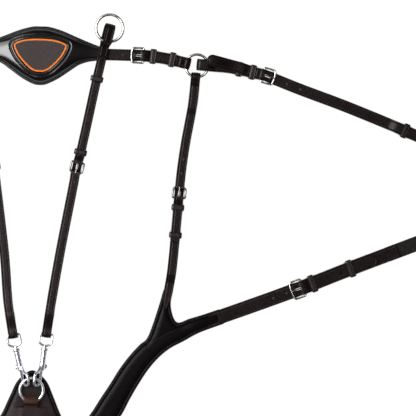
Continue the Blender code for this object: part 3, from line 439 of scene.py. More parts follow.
def buildEdgeWearAndSheen():
    # dyed rim, which on the chest tab is painted shade, painted sheen that lifts the colour where the sheen
    # attribute is set, and a surface that varies slowly
    tree, into, out = newGroup("edgeWearAndSheen", "ShaderNodeTree",
                               {"Mottle": 0.5, "Base": (0.02, 0.016, 0.015, 1),
                                "Worn Edge And Shade": (0.05, 0.028, 0.02, 1), "Gloss": 0.4, "Painted Sheen": 0.5},
                               {"Color": "Color", "Rough": "Float"})
    spread = mapRange(noise(objectSpot(tree), 160.0, 5.0, 0.7)[0], 0.35, 0.75, 0.0, 1.0)
    uneven = calc("ADD", calc("MULTIPLY", spread, 0.7), 0.3)
    rim = calc("MULTIPLY", layer(tree, "edge"), uneven)
    # painted sheen: the colour is lifted along the sheen attribute, more in some patches than in others
    patchy = calc("ADD", calc("MULTIPLY", spread, 0.35), 0.45)
    lift = calc("MULTIPLY", calc("MULTIPLY", layer(tree, "paintedSheen"), patchy),
                calc("MULTIPLY", into["Painted Sheen"], 5.0))
    tone = calc("ADD", mapRange(into["Mottle"], 0.0, 1.0, 0.72, 1.3), lift)
    shade = blended(into["Base"], tone, blend="MULTIPLY")
    wave = calc("MULTIPLY", calc("SUBTRACT", into["Mottle"], 0.5), 0.35)
    rough = calc("ADD", calc("ADD", into["Gloss"], wave), calc("MULTIPLY", rim, 0.12))
    setInputs(out, {"Color": blended(shade, into["Worn Edge And Shade"], rim), "Rough": rough})
    return tree


def buildWeave():
    # woven threads along and across, from the piece's own lay of (along, across)
    tree, into, out = newGroup("wovenThreads", "ShaderNodeTree", {"Along": 900.0, "Across": 900.0},
                               {"Height": "Float", "Shade": "Float"})
    lay = layer(tree, "lay", "Vector")
    parts = addNode(tree, "SeparateXYZ", {0: lay}).outputs
    waves = []
    for axis, rate in (("X", "Along"), ("Y", "Across")):
        phase = calc("MULTIPLY", parts[axis], into[rate])
        waves.append(calc("SINE", calc("MULTIPLY", phase, 2 * pi)))
    high = calc("ADD", calc("MULTIPLY", calc("MULTIPLY", *waves), 0.5), 0.5)
    fuzz = calc("MULTIPLY", noise(lay, 3000.0, 2.0)[0], 0.4)
    setInputs(out, {"Height": calc("ADD", high, fuzz), "Shade": high})
    return tree


grainGroup = buildGrain()
wearAndSheenGroup = buildEdgeWearAndSheen()
weaveGroup = buildWeave()
finishes = {}


def addFinish(name, build, bumpHeight, **shader):
    # build gives the colour, the roughness and the relief of a new material
    material = bpy.data.materials.new(name)
    material.use_nodes = True
    tree = material.node_tree
    colour, rough, relief = build(tree)
    bump = addNode(tree, "Bump", {"Distance": bumpHeight, "Strength": 1.0, "Height": relief})
    setInputs(tree.nodes["Principled BSDF"], {"Base Color": colour, "Roughness": rough,
                                              "Normal": bump.outputs[0], **shader})
    finishes[name] = material


def addLeather(name, base, wornEdgeAndShade, gloss, cells, depth, specular=0.1, coat=0.0, paintedSheenAmount=0.3, satin=0.3):
    def build(tree):
        grain = addNode(tree, "Group", {"Cells": cells, "Depth": depth}, node_tree=grainGroup).outputs
        wearAndSheen = addNode(tree, "Group", {"Base": (*base, 1), "Worn Edge And Shade": (*wornEdgeAndShade, 1), "Gloss": gloss,
                                       "Painted Sheen": paintedSheenAmount, "Mottle": grain["Mottle"]}, node_tree=wearAndSheenGroup)
        return wearAndSheen.outputs["Color"], wearAndSheen.outputs["Rough"], grain["Height"]

    addFinish(name, build, 0.02 * mm, **{"Specular IOR Level": specular, "Coat Weight": coat,
                                         "Coat Roughness": satin})


def addSteel(name, base, rough, metal=1.0):
    def build(tree):
        spot = objectSpot(tree)
        smudge = noise(spot, 240.0, 4.0, 0.65)[0]
        stretch = addNode(tree, "Mapping", {"Vector": spot, "Scale": (1.0, 1.0, 6.0)})
        tint = mapRange(smudge, 0.2, 0.8, 0.88, 1.08)
        return (blended((*base, 1), tint, blend="MULTIPLY"),
                mapRange(smudge, 0.3, 0.75, rough * 0.75, rough * 1.7),
                noise(stretch.outputs[0], 1800.0, 2.0)[0])

    addFinish(name, build, 0.004 * mm, Metallic=metal)


def addPlain(name, base, rough, scale, contrast, distance):
    # moulded rubber and twisted thread: one colour that varies finely, with a fine relief
    def build(tree):
        speck = noise(objectSpot(tree), scale, 3.0)[0]
        tone = mapRange(speck, 0.3, 0.7, 1 - contrast, 1 + contrast)
        return (blended((*base, 1), tone, blend="MULTIPLY"),
                mapRange(speck, 0.0, 1.0, rough * 0.85, rough * 1.15), speck)

    addFinish(name, build, distance, **{"Specular IOR Level": 0.4})


def addWoven(name, base, dark, rough, along, across, distance):
    def build(tree):
        weave = addNode(tree, "Group", {"Along": along, "Across": across}, node_tree=weaveGroup).outputs
        return (blended((*dark, 1), (*base, 1), weave["Shade"]),
                mapRange(weave["Shade"], 0.0, 1.0, rough, rough * 0.85), weave["Height"])

    addFinish(name, build, distance, **{"Specular IOR Level": 0.25, "Sheen Weight": 0.15})


# the sheen amount of each leather sets painted sheen: a painted highlight line beside the crease on straps
# and keepers, and a painted sheen on the yoke's chest shield
addLeather("strapLeather", (0.0066, 0.0036, 0.0034), (0.0030, 0.0018, 0.0017), 0.32, 2900, 0.7,
           specular=0.08, coat=0.12, paintedSheenAmount=0.6)
addLeather("keeperLeather", (0.013, 0.0082, 0.0070), (0.005, 0.003, 0.0026), 0.26, 2900, 0.5,
           coat=0.35, paintedSheenAmount=0.1)
addLeather("padLeather", (0.0036, 0.0026, 0.0026), (0.0045, 0.0031, 0.0028), 0.27, 2100, 0.8,
           specular=0.03, coat=0.9, paintedSheenAmount=0.0, satin=0.2)
addLeather("yokeLeather", (0.0036, 0.0027, 0.0028), (0.019, 0.0095, 0.0078), 0.36, 2100, 0.8,
           specular=0.02, coat=0.06, paintedSheenAmount=2.3)
# fleshSide's second colour is painted shade, for the chest tab's fold and the part under the padding
addLeather("fleshSide", (0.046, 0.019, 0.012), (0.004, 0.002, 0.0016), 0.5, 2900, 1.0)
addPlain("thread", (0.045, 0.036, 0.035), 0.62, 2600, 0.35, 0.05 * mm)
addPlain("rim", (0.86, 0.205, 0.018), 0.5, 1800, 0.12, 0.02 * mm)
addSteel("steel", (0.53, 0.51, 0.475), 0.18)
# dimSteel is the steel painted darker: painted shade on the narrow buckle frames and on every tongue
addSteel("dimSteel", (0.19, 0.18, 0.17), 0.2)
addSteel("chrome", (0.70, 0.715, 0.745), 0.14, metal=0.85)
addWoven("webbing", (0.0075, 0.0048, 0.0034), (0.003, 0.002, 0.0015), 0.85, 700, 900, 0.12 * mm)
addWoven("patch", (0.068, 0.050, 0.046), (0.020, 0.017, 0.018), 0.75, 620, 620, 0.05 * mm)
print("finishes:", len(finishes))


# Geometry Nodes: stitches along rows, and punched leather

def finishTree(tree, into, out, geometry):
    # real geometry with the material that the tree is given
    painted = addNode(tree, "GeometryNodeSetMaterial", {
        "Geometry": addNode(tree, "GeometryNodeRealizeInstances", {0: geometry}).outputs[0],
        "Material": into["Material"]})
    setInputs(out, {"Geometry": painted.outputs[0]})
    return tree


def buildStitchTree():
    tree, into, out = newGroup("stitchRows", "GeometryNodeTree",
                               {"Geometry": "Geometry", "Pitch": 3.2 * mm, "Stitch Length": 2.5 * mm,
                                "Thread": 0.3 * mm, "Slant": radians(9), "Material": "Material"},
                               {"Geometry": "Geometry"})
    curve = addNode(tree, "GeometryNodeMeshToCurve", {"Mesh": into["Geometry"]})
    spaced = addNode(tree, "GeometryNodeResampleCurve", {"Curve": curve.outputs[0], "Length": into["Pitch"]},
                     mode="LENGTH")
    tangent = addNode(tree, "GeometryNodeInputTangent")
    up = addNode(tree, "GeometryNodeInputNamedAttribute", {"Name": "up"}, data_type="FLOAT_VECTOR")
    alongRow = addNode(tree, "FunctionNodeAlignRotationToVector", {"Vector": tangent.outputs[0]}, axis="X")
    upright = addNode(tree, "FunctionNodeAlignRotationToVector",
                      {"Rotation": alongRow.outputs[0], "Vector": up.outputs["Attribute"]},
                      axis="Z", pivot_axis="X")
    turn = addNode(tree, "CombineXYZ", {"Z": into["Slant"]})
    euler = addNode(tree, "FunctionNodeEulerToRotation", {0: turn.outputs[0]})
    slant = addNode(tree, "FunctionNodeRotateRotation", {0: upright.outputs[0], 1: euler.outputs[0]},
                    rotation_space="LOCAL")
    bead = addNode(tree, "GeometryNodeMeshUVSphere", {"Segments": 6, "Rings": 4, "Radius": 1.0}).outputs[0]
    size = addNode(tree, "CombineXYZ", {"X": calc("MULTIPLY", into["Stitch Length"], 0.5),
                                        "Y": into["Thread"], "Z": into["Thread"]}).outputs[0]
    shaped = addNode(tree, "GeometryNodeTransform", {"Geometry": bead, "Scale": size})
    laid = addNode(tree, "GeometryNodeInstanceOnPoints",
                   {"Points": spaced.outputs[0], "Instance": shaped.outputs[0], "Rotation": slant.outputs[0]})
    return finishTree(tree, into, out, laid.outputs[0])


def buildPunchTree():
    tree, into, out = newGroup("punchedLeather", "GeometryNodeTree",
                               {"Geometry": "Geometry", "Holes": "Object", "Slots": "Object",
                                "Hole Radius": 1.9 * mm, "Cut Depth": 16 * mm, "Material": "Material"},
                               {"Geometry": "Geometry"})
    holes, slots = (
        addNode(tree, "GeometryNodeObjectInfo", {"Object": into[label]},
                transform_space="ORIGINAL").outputs["Geometry"]
        for label in ("Holes", "Slots"))
    rod = addNode(tree, "GeometryNodeMeshCylinder", {"Vertices": 20, "Radius": into["Hole Radius"],
                                                     "Depth": into["Cut Depth"]})
    laid = addNode(tree, "GeometryNodeInstanceOnPoints",
                   {"Points": holes, "Instance": rod.outputs["Mesh"]})
    rods = addNode(tree, "GeometryNodeRealizeInstances", {0: laid.outputs[0]})
    cut = addNode(tree, "GeometryNodeMeshBoolean", {"Mesh 1": into["Geometry"], "Mesh 2": rods.outputs[0]},
                  operation="DIFFERENCE")
    setInputs(cut, {"Mesh 2": slots})
    return finishTree(tree, into, out, cut.outputs["Mesh"])


stitchTree = buildStitchTree()
punchTree = buildPunchTree()


def giveTree(piece, tree, values):
    modifier = piece.modifiers.new(tree.name, "NODES")
    modifier.node_group = tree
    for item in tree.interface.items_tree:
        if item.item_type == "SOCKET" and item.in_out == "INPUT" and item.name in values:
            modifier[item.identifier] = values[item.name]


def punched(piece, holeSpots, slotMesh):
    holes = newObject("holeSpots", plainMesh("holeSpots", holeSpots))
    slots = newObject("slotCutter", slotMesh)
    giveTree(piece, punchTree, {"Holes": holes, "Slots": slots, "Material": piece.data.materials[0]})
    shadeEdges(bakeNodes(piece))
    for helper in (holes, slots):
        bpy.data.objects.remove(helper)


stitchRows = {}     # rows of sewing, gathered by the body that carries them


def addRow(body, points, ups=None):
    points = np.array(points, float)
    if ups is None:
        ups = np.tile([0.0, 0.0, 1.0], (len(points), 1))
    stitchRows.setdefault(body, []).append((points, ups))


def strapRow(line, body, sFrom, sTo, x, level):
    # a straight row of sewing along a strap, on the ply at that level
    count = max(int(abs(sTo - sFrom) / (4 * mm)), 2)
    s = np.linspace(sFrom, sTo, count + 1)
    base, over = (line.place([(a, x, high) for a in s]) for high in (level, level + mm))
    addRow(body, base, (over - base) / np.linalg.norm(over - base, axis=1)[:, None])


def edgeRows(line, body, sFrom, sTo, width, level):
    # sewing in the creases on both sides
    for x in (leather["crease"] - width / 2, width / 2 - leather["crease"]):
        strapRow(line, body, sFrom, sTo, x, level)


# Strap makers

def topHeight(inset, thick, crease, deep, shoulder):
    low = shoulder * (1 - smoothStep((inset - crease) / (0.9 * mm)))
    dent = deep * bell(inset - crease, leather["creaseWide"])
    edge = leather["edgeRound"]
    return thick / 2 * rounded(inset, edge) - (low + dent) * np.clip(inset / edge, 0, 1)


def sectionInsets(half, crease):
    near = [0, 0.08, 0.25, 0.5, 0.8, 1.2]
    dip = [crease / mm + step for step in (-0.7, -0.4, -0.2, 0, 0.2, 0.4, 0.8, 1.6)]
    inner = [half / mm * 0.75, half / mm]
    return np.array(sorted({round(v, 3) for v in near + dip + inner if 0 <= v <= half / mm})) * mm


def ribbon(path, width, thick, closed=False, tip=None, flip=False, both=False, crease=None, share=1.0):
    # points (along, across, level), faces and each point's distance in from the edge
    half = width / 2
    crease = crease or leather["crease"]
    deep, shoulder = leather["creaseDeep"] * share, leather["shoulder"] * share
    path = np.array(path, float)
    if tip is not None:
        steps = np.array([0, 0.004, 0.02, 0.05, 0.1, 0.17, 0.26, 0.37, 0.5, 0.65, 0.82, 1.0])
        body = path[path[:, 0] - tip > half * 1.08]
        path = np.vstack([np.column_stack([tip + half * steps, np.full(len(steps), path[0][1])]), body])
    normal = sideways(headings(path, closed)) * (-1 if flip else 1)
    insets = sectionInsets(half, crease)
    under = insets[1:] if both else np.array([0.25 * mm, 0.8 * mm, half * 0.6, half])
    columns = [(-1, i, 1) for i in insets] + [(1, i, 1) for i in insets[-2::-1]]
    columns += [(1, i, -1) for i in under] + [(-1, i, -1) for i in under[-2::-1]]
    sign, inset, face = np.array(columns).T
    ends = np.zeros(len(path))
    if tip is not None:
        ends = np.clip(tip + half - path[:, 0], 0, half)
    x = sign * np.sqrt(np.clip((half - inset) ** 2 - ends[:, None] ** 2, 0, None))
    true = half - np.hypot(x, ends[:, None])
    high = np.where(face > 0, topHeight(true, thick, crease, deep, shoulder),
                    -topHeight(true, thick, crease, deep * both, shoulder * both))
    if not closed:
        # cut ends are pared thinner, a rounded tip isn't
        for row in (0, -1) if tip is None else (-1,):
            high[row] *= 0.75
    along = path[:, 0, None] + normal[:, 0, None] * high
    level = path[:, 1, None] + normal[:, 1, None] * high
    points = np.stack([along, x, level], -1).reshape(-1, 3)
    return points, gridFaces(len(path), len(columns), closed), true.reshape(-1)


def ringChapePath(sHeel, slack, eye):
    path = [*arc(-slack, ringLevel, eye, 90, 270, 24),
            *ramp(0, ringLevel - eye, rampLong, lowerPly),
            *ramp(sHeel - rampLong, lowerPly, sHeel, heelLevel - heelEye),
            *arc(sHeel, heelLevel, heelEye, -60, 90),
            *ramp(sHeel - heelEye / 2, heelTop, sHeel - foldRamp, upperPly, 8),
            *ramp(rampLong - clear, upperPly, -clear, ringLevel + eye)]
    return runOut(path, closed=True)


def sewnChapePath(sUpper, lowerPath, sHeel):
    path = [(sUpper, upperPly),
            *ramp(sHeel - foldRamp, upperPly, sHeel - heelEye / 2, heelTop, 8),
            *arc(sHeel, heelLevel, heelEye, 90, -60),
            *ramp(sHeel, heelLevel - heelEye, sHeel - rampLong, lowerPly),
            *lowerPath]
    return runOut(path)


def billetPath(sTip, sHeel, sFront):
    return [(sTip, onStack),
            *ramp(sHeel - rampLong, onStack, sHeel - heelRamp, overHeel),
            *ramp(sHeel + heelRamp, overHeel, sFront - wire["buckle"], flat)]


def foldPath(foldEnd, sEye, level, radius):
    return [*ramp(foldEnd - 12 * mm, flat, foldEnd, foldUpper, 8),
            *ramp(sEye - 13 * mm, foldUpper, sEye, level + radius),
            *arc(sEye + 0.5 * mm, level, radius, 75, -90),
            *ramp(sEye - mm, level - radius, sEye - rampLong, flat, 10),
            (foldEnd + foldStep, flat)]


def strapMesh(line, path, width, thick, taper=None, **options):
    points, faces, inset = ribbon(path, width, thick, **options)
    if taper:
        points[:, 1] *= taper(points[:, 0])
    return meshOf("strap", line.place(points), faces, inset, points)


keeper = {
    "long": 8 * mm, "ply": 1.5 * mm, "ease": 1.1 * mm, "corner": 1.3 * mm, "crease": 1.3 * mm,
    "share": 0.45,      # of a strap's crease depth
}
overKeeper = stackTop + clear + keeper["ply"] + clear + billet / 2
overLoop = ringLevel + ringEye + ply / 2 + clear + billet / 2


def keeperMesh(line, s, width, seam=ply, topIn=onStack + billet / 2 + clear):
    # a sewn loop round the strap stack, its foot between the plies
    half = width / 2 + keeper["ease"] + keeper["ply"] / 2
    foot = seam - keeper["ply"] * 0.4 + keeper["ply"] / 2
    top = topIn + keeper["ply"] / 2
    r = keeper["corner"]
    small = r * 0.7
    path = [*arc(half - r, top - r, r, 0, 90, 6), *arc(r - half, top - r, r, 90, 180, 6),
            *arc(r - half, foot + small, small, 180, 270, 5),
            *arc(half - r, foot + small, small, 270, 360, 5)]
    path = runOut(path, closed=True, soften=1)
    points, faces, inset = ribbon(path, keeper["long"], keeper["ply"], closed=True, flip=True,
                                  crease=keeper["crease"], share=keeper["share"])
    points = points[:, [1, 0, 2]] + np.array([s, 0, 0])
    return meshOf("keeper", line.place(points), faces, inset, points)


def slotRim(sFrom, sTo, half, count):
    # the outline of a slot with round ends
    ends = ((sTo - half, np.linspace(-90, 90, count)), (sFrom + half, np.linspace(90, 270, count)))
    return [(middle + half * cos(a), half * sin(a)) for middle, turns in ends for a in np.radians(turns)]


def prismFaces(count):
    # between an outline and the same outline further on
    sides = [(k, (k + 1) % count, (k + 1) % count + count, k + count) for k in range(count)]
    return [tuple(reversed(range(count))), tuple(range(count, 2 * count)), *sides]


def boxTool(line, sFrom, sTo, wide, low, high):
    # a slot's cutter, bent along the strap
    rim = slotRim(sFrom, sTo, wide / 2, 7)
    points = [(s, x, level) for level in (low, high) for s, x in rim]
    return meshOf("slotCutter", line.place(points), prismFaces(len(rim)))


def addChape(name, line, path, width, sHeel, keepers, body, node, closed=False, free=None, **options):
    # a free keeper holds the chape's own plies alone
    band = strapMesh(line, path, width, ply, closed=closed, flip=closed, **options)
    piece = addObject(name, band, finishes["strapLeather"])
    reach = heelEye + ply * 1.7
    punched(piece, [], boxTool(line, sHeel - reach, sHeel + reach, 3.4 * mm, heelLevel - reach * 1.2,
                               heelLevel + reach * 1.1))
    settle(piece, body, "leather", node)
    loops = [keeperMesh(line, s, width) for s in keepers]
    if free is not None:
        loops.append(keeperMesh(line, free, width, topIn=stackTop + clear))
    loops = joined(name + "Keepers", loops)
    settle(addObject(name + "Keepers", loops, finishes["keeperLeather"]), body, "leather")


def addBillet(name, line, path, width, body, sHeel, sFront, holes, tip, nodes=(), extra=()):
    mesh = strapMesh(line, runOut(path), width, billet, tip=tip)
    piece = addObject(name, mesh, finishes["strapLeather"])
    slot = boxTool(line, sHeel + clear * 3, sFront - wire["buckle"] * 2, 2.9 * mm, mm, 14 * mm)
    punched(piece, [line.at(s, flat) for s in holes], slot)
    if extra:
        piece.data = joined(name, [piece.data, *extra])
        piece.data.materials.append(finishes["strapLeather"])
        shadeEdges(piece.data)
    settle(piece, body, "leather", *nodes)


# Metal

def tubeMesh(points, radii, closed=False, count=20, squash=1.0, up=(0.0, 0.0, 1.0)):
    # a wire through the points; squash flattens it towards up
    points = np.array(points, float)
    radii = np.broadcast_to(np.array(radii, float), (len(points),))
    way = headings(points, closed)
    side = np.cross(up, way)
    side /= np.linalg.norm(side, axis=1)[:, None]
    lift = np.cross(way, side)
    turns = np.linspace(0, 2 * pi, count, endpoint=False)[None, :, None]
    ring = side[:, None] * np.cos(turns) + lift[:, None] * np.sin(turns) * squash
    rows = (points[:, None] + radii[:, None, None] * ring).reshape(-1, 3)
    return meshOf("wire", rows, gridFaces(len(points), count, closed))


def turned(profile, count=40):
    # a profile of (along X, radius) turned about X
    turns = np.linspace(0, 2 * pi, count, endpoint=False)
    rows = [(x, r * cos(a), r * sin(a)) for x, r in profile for a in turns]
    return meshOf("turned", rows, gridFaces(len(profile), count, capped=False))


buckle = {
    "heel": 1.4 * mm, "corner": 3.2 * mm, "bow": 0.9 * mm, "squash": 0.92,
    "tongueTip": (0.97, 0.86, 0.6, 0.25),       # the tongue's last steps narrow to a rounded end
}


def addBuckle(kind, name, line, sHeel, long, width, body):
    half = width / 2 + mm + wire["buckle"]
    heel, corner, bow = buckle["heel"], buckle["corner"], buckle["bow"]
    straight = half - corner
    turns = np.radians(np.linspace(0, 90, 8))
    outline = [(0, y) for y in np.linspace(0, half - heel, 6)[:-1]]
    outline += [(heel - heel * cos(a), half - heel + heel * sin(a)) for a in turns]
    outline += [(x, half) for x in np.linspace(heel, long - corner, 8)[1:-1]]
    outline += [(long - corner + corner * sin(a), straight + corner * cos(a)) for a in turns]
    outline += [(long + bow * (1 - (y / straight) ** 2), y) for y in np.linspace(straight, 0, 9)[1:]]
    path = np.array([(x, y, 0) for x, y in outline + [(x, -y) for x, y in reversed(outline[1:-1])]])
    bar = wire["buckle"] * np.where(path[:, 0] > long * 0.8, 1.0, 0.92)
    reach = long + bow + wire["buckle"] * 0.8
    loop = [(tongueReach * cos(a), 0, tongueReach * sin(a)) for a in np.radians(np.linspace(378, 90, 28))]
    tips = [reach - step * mm for step in (0.6, 0.3, 0.08, 0)]
    points = loop + [(x, 0, tongueReach) for x in (*np.linspace(mm, reach - mm, 12), *tips)]
    radii = np.full(len(points), wire["tongue"])
    radii[-16:] = np.linspace(1.0, 0.82, 16) * mm
    radii[-4:] *= buckle["tongueTip"]
    # narrow buckle frames take the darker steel: painted shade
    frameFinish = "dimSteel" if width == leather["narrow"] else "steel"
    frameMesh = tubeMesh(path, bar, closed=True, squash=buckle["squash"])
    tongue = tubeMesh(points, radii, count=16, up=(0.0, 1.0, 0.0))
    for part, mesh, finish, carrier in (("Buckle", frameMesh, frameFinish, body),
                                        ("Tongue", tongue, "dimSteel", f"{kind}_tongue_{name}")):
        mesh.transform(line.axes(sHeel, heelLevel))
        piece = addObject(kind + part + name.capitalize(), mesh, finishes[finish], 60)
        settle(piece, carrier, "steel", f"{kind}_{part.lower()}_{name}")


def addRing(name, radius, spot, node, finish="steel"):
    path = [(radius * cos(a), radius * sin(a), 0) for a in np.linspace(0, 2 * pi, 96, endpoint=False)]
    mesh = tubeMesh(path, wire["ring"], closed=True, count=24)
    mesh.transform(Matrix.Translation(spot))
    settle(addObject(name, mesh, finishes[finish], 60), node, "steel", node)


snap = {
    "barrel": 4.25 * mm, "bore": 2.45 * mm, "bolt": 2.1 * mm, "hookWide": 12.5 * mm,
    "barrelFrom": 14 * mm, "barrelTo": 46 * mm, "eyeFrom": 49 * mm, "eyeTo": 66 * mm,
    "slot": 1.9 * mm, "knob": 1.5 * mm, "travel": 8 * mm, "curlAt": -1.6 * mm, "tip": -0.7 * mm,
    "roll": radians(38), "wireInHook": 6.4 * mm, "grip": {1: radians(62), -1: radians(122)},
    "melt": 0.36 * mm,      # the parts of the cast body melt together at this size
}
knobAt = snap["barrelFrom"] + 6.1 * mm
collarFrom = snap["barrelTo"] - 4.5 * mm


def snapFrame(spot, along, roll):
    along = along.normalized()
    side = Vector((0, 0, 1)).cross(along)
    arm = Vector((0, 0, 1)) * cos(roll) + side * sin(roll)
    axes = Matrix((along, arm, along.cross(arm))).transposed().to_4x4()
    return Matrix.Translation(spot) @ axes


def eyeMesh(strap, swivel=True):
    half = strap / 2 + wire["snap"] + 2 * clear
    corner = 3 * mm
    start, end = snap["eyeFrom"], snap["eyeTo"]
    right = [(start, 2.4 * mm), (start + 2.5 * mm, half - corner / 2), (start + 5 * mm, half),
             (end - corner * 1.9, half), (end - corner, half), (end - corner * 0.3, half - corner * 0.3),
             (end, half - corner), (end, half * 0.4)]
    path = [(x, y, 0) for x, y in right + [(x, -y) for x, y in reversed(right)]]
    ring = tubeMesh(smoothLine(path, closed=True, steps=5), wire["snap"], closed=True)
    neck = 2.9 * mm
    if swivel:
        headFrom = collarFrom - 4.5 * mm
        headTo = headFrom + 3 * mm
        profile = [(headFrom, 0.0), (headFrom, neck), (headTo, neck), (headTo, 2 * mm)]
    else:
        profile = [(collarFrom + 0.8 * mm, 0.0), (collarFrom + 0.8 * mm, neck)]
    stem = turned([*profile, (start + clear, 2 * mm), (start + 1.2 * mm, 1.4 * mm), (start + 1.2 * mm, 0.0)])
    return boolMesh(ring, stem, "UNION")


def snapBodyMesh(strap=None):
    barrel, bore, at, to = snap["barrel"], snap["bore"], snap["barrelFrom"], snap["barrelTo"]
    collar = barrel + 1.05 * mm
    outer = [(at, 0.0), (at, barrel - 0.9 * mm), (at + 0.3 * mm, barrel - 0.3 * mm), (at + 0.9 * mm, barrel),
             (collarFrom - 1.6 * mm, barrel), (collarFrom - 0.9 * mm, barrel - 0.35 * mm),
             (collarFrom - 0.2 * mm, barrel), (collarFrom + 0.3 * mm, collar), (to - 0.9 * mm, collar),
             (to - 0.2 * mm, collar - 0.5 * mm), (to, collar - 1 * mm), (to, 0.0)]
    curl = snap["hookWide"] / 2
    start = [(at + 6 * mm, barrel - 1.6 * mm), (at + 2.5 * mm, barrel - 0.2 * mm),
             (at - 1.5 * mm, barrel + 2.4 * mm), (at - 5.5 * mm, snap["hookWide"] - 1.2 * mm),
             (at - 9 * mm, snap["hookWide"])]
    turn = [(snap["curlAt"] + curl * cos(a), curl + curl * sin(a))
            for a in np.radians(np.arange(90, 271, 22.5))]
    path = smoothLine([(x, y, 0) for x, y in [*start, *turn, (snap["tip"], 0)]])
    share = np.linspace(0, 1, len(path))
    radii = wire["hook"] * (1.12 - 0.16 * smoothStep(share * 2.2))
    radii[-4:] *= (1.0, 0.98, 0.92, 0.85)
    solid = modified(joined("snap", [turned(outer, 48), tubeMesh(path, radii)]),
                     REMESH={"mode": "VOXEL", "voxel_size": snap["melt"], "adaptivity": 0.0},
                     SMOOTH={"factor": 0.5, "iterations": 3})
    boreFrom, boreTo = snap["tip"] + 2 * mm, collarFrom - 6 * mm
    solid = boolMesh(solid, turned([(boreFrom, 0.0), (boreFrom, bore), (boreTo, bore), (boreTo, 0.0)]))
    room, neck = 3.3 * mm, 2.35 * mm
    headFrom = collarFrom - 5 * mm
    solid = boolMesh(solid, turned([(headFrom, 0.0), (headFrom, room), (collarFrom, room), (collarFrom, neck),
                                    (to + mm, neck), (to + mm, 0.0)]))
    rim = slotRim(knobAt - snap["slot"] - clear / 2, knobAt + snap["travel"] + snap["slot"], snap["slot"], 9)
    points = [(x, y, z) for y in (-barrel * 1.6, -bore / 5) for x, z in rim]
    solid = boolMesh(solid, meshOf("slot", points, prismFaces(len(rim))))
    if strap:
        solid = joined("snap", [solid, eyeMesh(strap, swivel=False)])
    return solid


def boltMesh():
    radius, edge = snap["bolt"], 0.5 * mm
    tip, back = snap["tip"] + clear, snap["barrelFrom"] + 12 * mm
    rod = turned([(tip, 0.0), (tip + 0.05 * mm, radius - edge), (tip + edge * 0.4, radius - edge * 0.3),
                  (tip + edge, radius), (back, radius), (back, 0.0)], 32)
    head = ((0.5, 1.0), (1.1, 1.6), (1.7, 2.2), (2.6, 2.3), (3.3, 2.0), (3.7, 1.2), (3.8, 0.0))
    knob = turned([(radius * 0.6, 0.0), (radius * 0.6, snap["knob"]),
                   *((snap["barrel"] + far * mm, snap["knob"] * share) for far, share in head)], 32)
    knob.transform(Matrix.Translation((knobAt, 0, 0)) @ Matrix.Rotation(-pi / 2, 4, "Z"))
    return boolMesh(rod, knob, "UNION")


castings = {
    "swivelSnap": snapBodyMesh(),
    "saddleSnap": snapBodyMesh(leather["medium"]),
    "bolt": boltMesh(),
    "swivelEye": eyeMesh(leather["narrow"]),
}
print("castings:", {k: len(m.polygons) for k, m in castings.items()})


def addCasting(name, source, place, body, node):
    mesh = castings[source].copy()
    mesh.transform(place)
    settle(addObject(name, mesh, finishes["chrome"], 50), body, "steel", node)


def addSnap(kind, name, source, place):
    # the snap's body and its bolt, each on the body named like its node
    for part, piece, casting in (("body", "Snap", source), ("bolt", "Bolt", "bolt")):
        node = f"{kind}_snap_{part}_{name}"
        addCasting(kind + piece + name.capitalize(), casting, place, node, node)


# Pieces cut from a pattern: an outline filled with a mesh that rises from its edge

def resample(points, pitch, closed=True):
    points = np.array(points, float)
    if closed:
        points = np.vstack([points, points[:1]])
    far = np.concatenate([[0.0], np.cumsum(np.hypot(*np.diff(points, axis=0).T))])
    count = max(int(round(far[-1] / pitch)), 3)
    s = np.linspace(0, far[-1], count + 1)[:count if closed else count + 1]
    return np.column_stack([np.interp(s, far, points[:, k]) for k in (0, 1)])


def rimOf(outline, pitch):
    # the outline in even steps, anticlockwise, and its directions inward
    outline = resample(outline, pitch)
    ahead = np.roll(outline, -1, 0)
    if (outline[:, 0] * ahead[:, 1] - ahead[:, 0] * outline[:, 1]).sum() < 0:
        outline = outline[::-1]
    return outline, sideways(headings(outline, closed=True))


def patternOutline(half, steps=8):
    # right half of an outline, mirrored; points marked as corners stay sharp
    marks = [(np.array(p[:2], float) * mm, len(p) > 2) for p in half]
    marks += [(p * (-1, 1), sharp) for p, sharp in reversed(marks) if p[0] > 0]
    runs = []
    for k, (b, sharp) in enumerate(marks):
        (c, nextSharp), (d, _) = (marks[(k + step) % len(marks)] for step in (1, 2))
        runs.append(bend(b * 2 - c if sharp else marks[k - 1][0], b, c, c * 2 - b if nextSharp else d, steps))
    return np.vstack(runs)


def distanceTo(points, line, closed=True):
    # distance of each point to a line of points, worked out in parts
    block = 2000
    points = np.array(points, float)
    a = np.array(line, float)
    b = np.roll(a, -1, 0) if closed else a[1:]
    a = a if closed else a[:-1]
    ab = b - a
    size = np.maximum((ab ** 2).sum(1), 1e-18)
    best = np.zeros(len(points))
    for k in range(0, len(points), block):
        part = points[k:k + block]
        t = np.clip(((part[:, None] - a) * ab).sum(2) / size, 0, 1)
        gap = part[:, None] - (a + t[..., None] * ab)
        best[k:k + block] = np.sqrt((gap ** 2).sum(2)).min(1)
    return best


def inside(points, line):
    points = np.array(points, float)
    a = np.array(line, float)
    b = np.roll(a, -1, 0)
    hits = np.zeros(len(points), bool)
    for (ax, ay), (bx, by) in zip(a, b):
        span = (ay > points[:, 1]) != (by > points[:, 1])
        cross = ax + (points[:, 1] - ay) * (bx - ax) / (by - ay if by != ay else 1e-12)
        hits ^= span & (points[:, 0] < cross)
    return hits


pattern = {
    "rimStep": 2 * mm, "seamStep": 1.6 * mm, "besideSeam": (-1.6, -0.8, -0.3, 0.3, 0.8, 1.6),
    "seamRoom": 2.2 * mm,       # the plain grid keeps this far from a seam
    "near": 0.03 * mm, "onRim": 0.001 * mm,
}


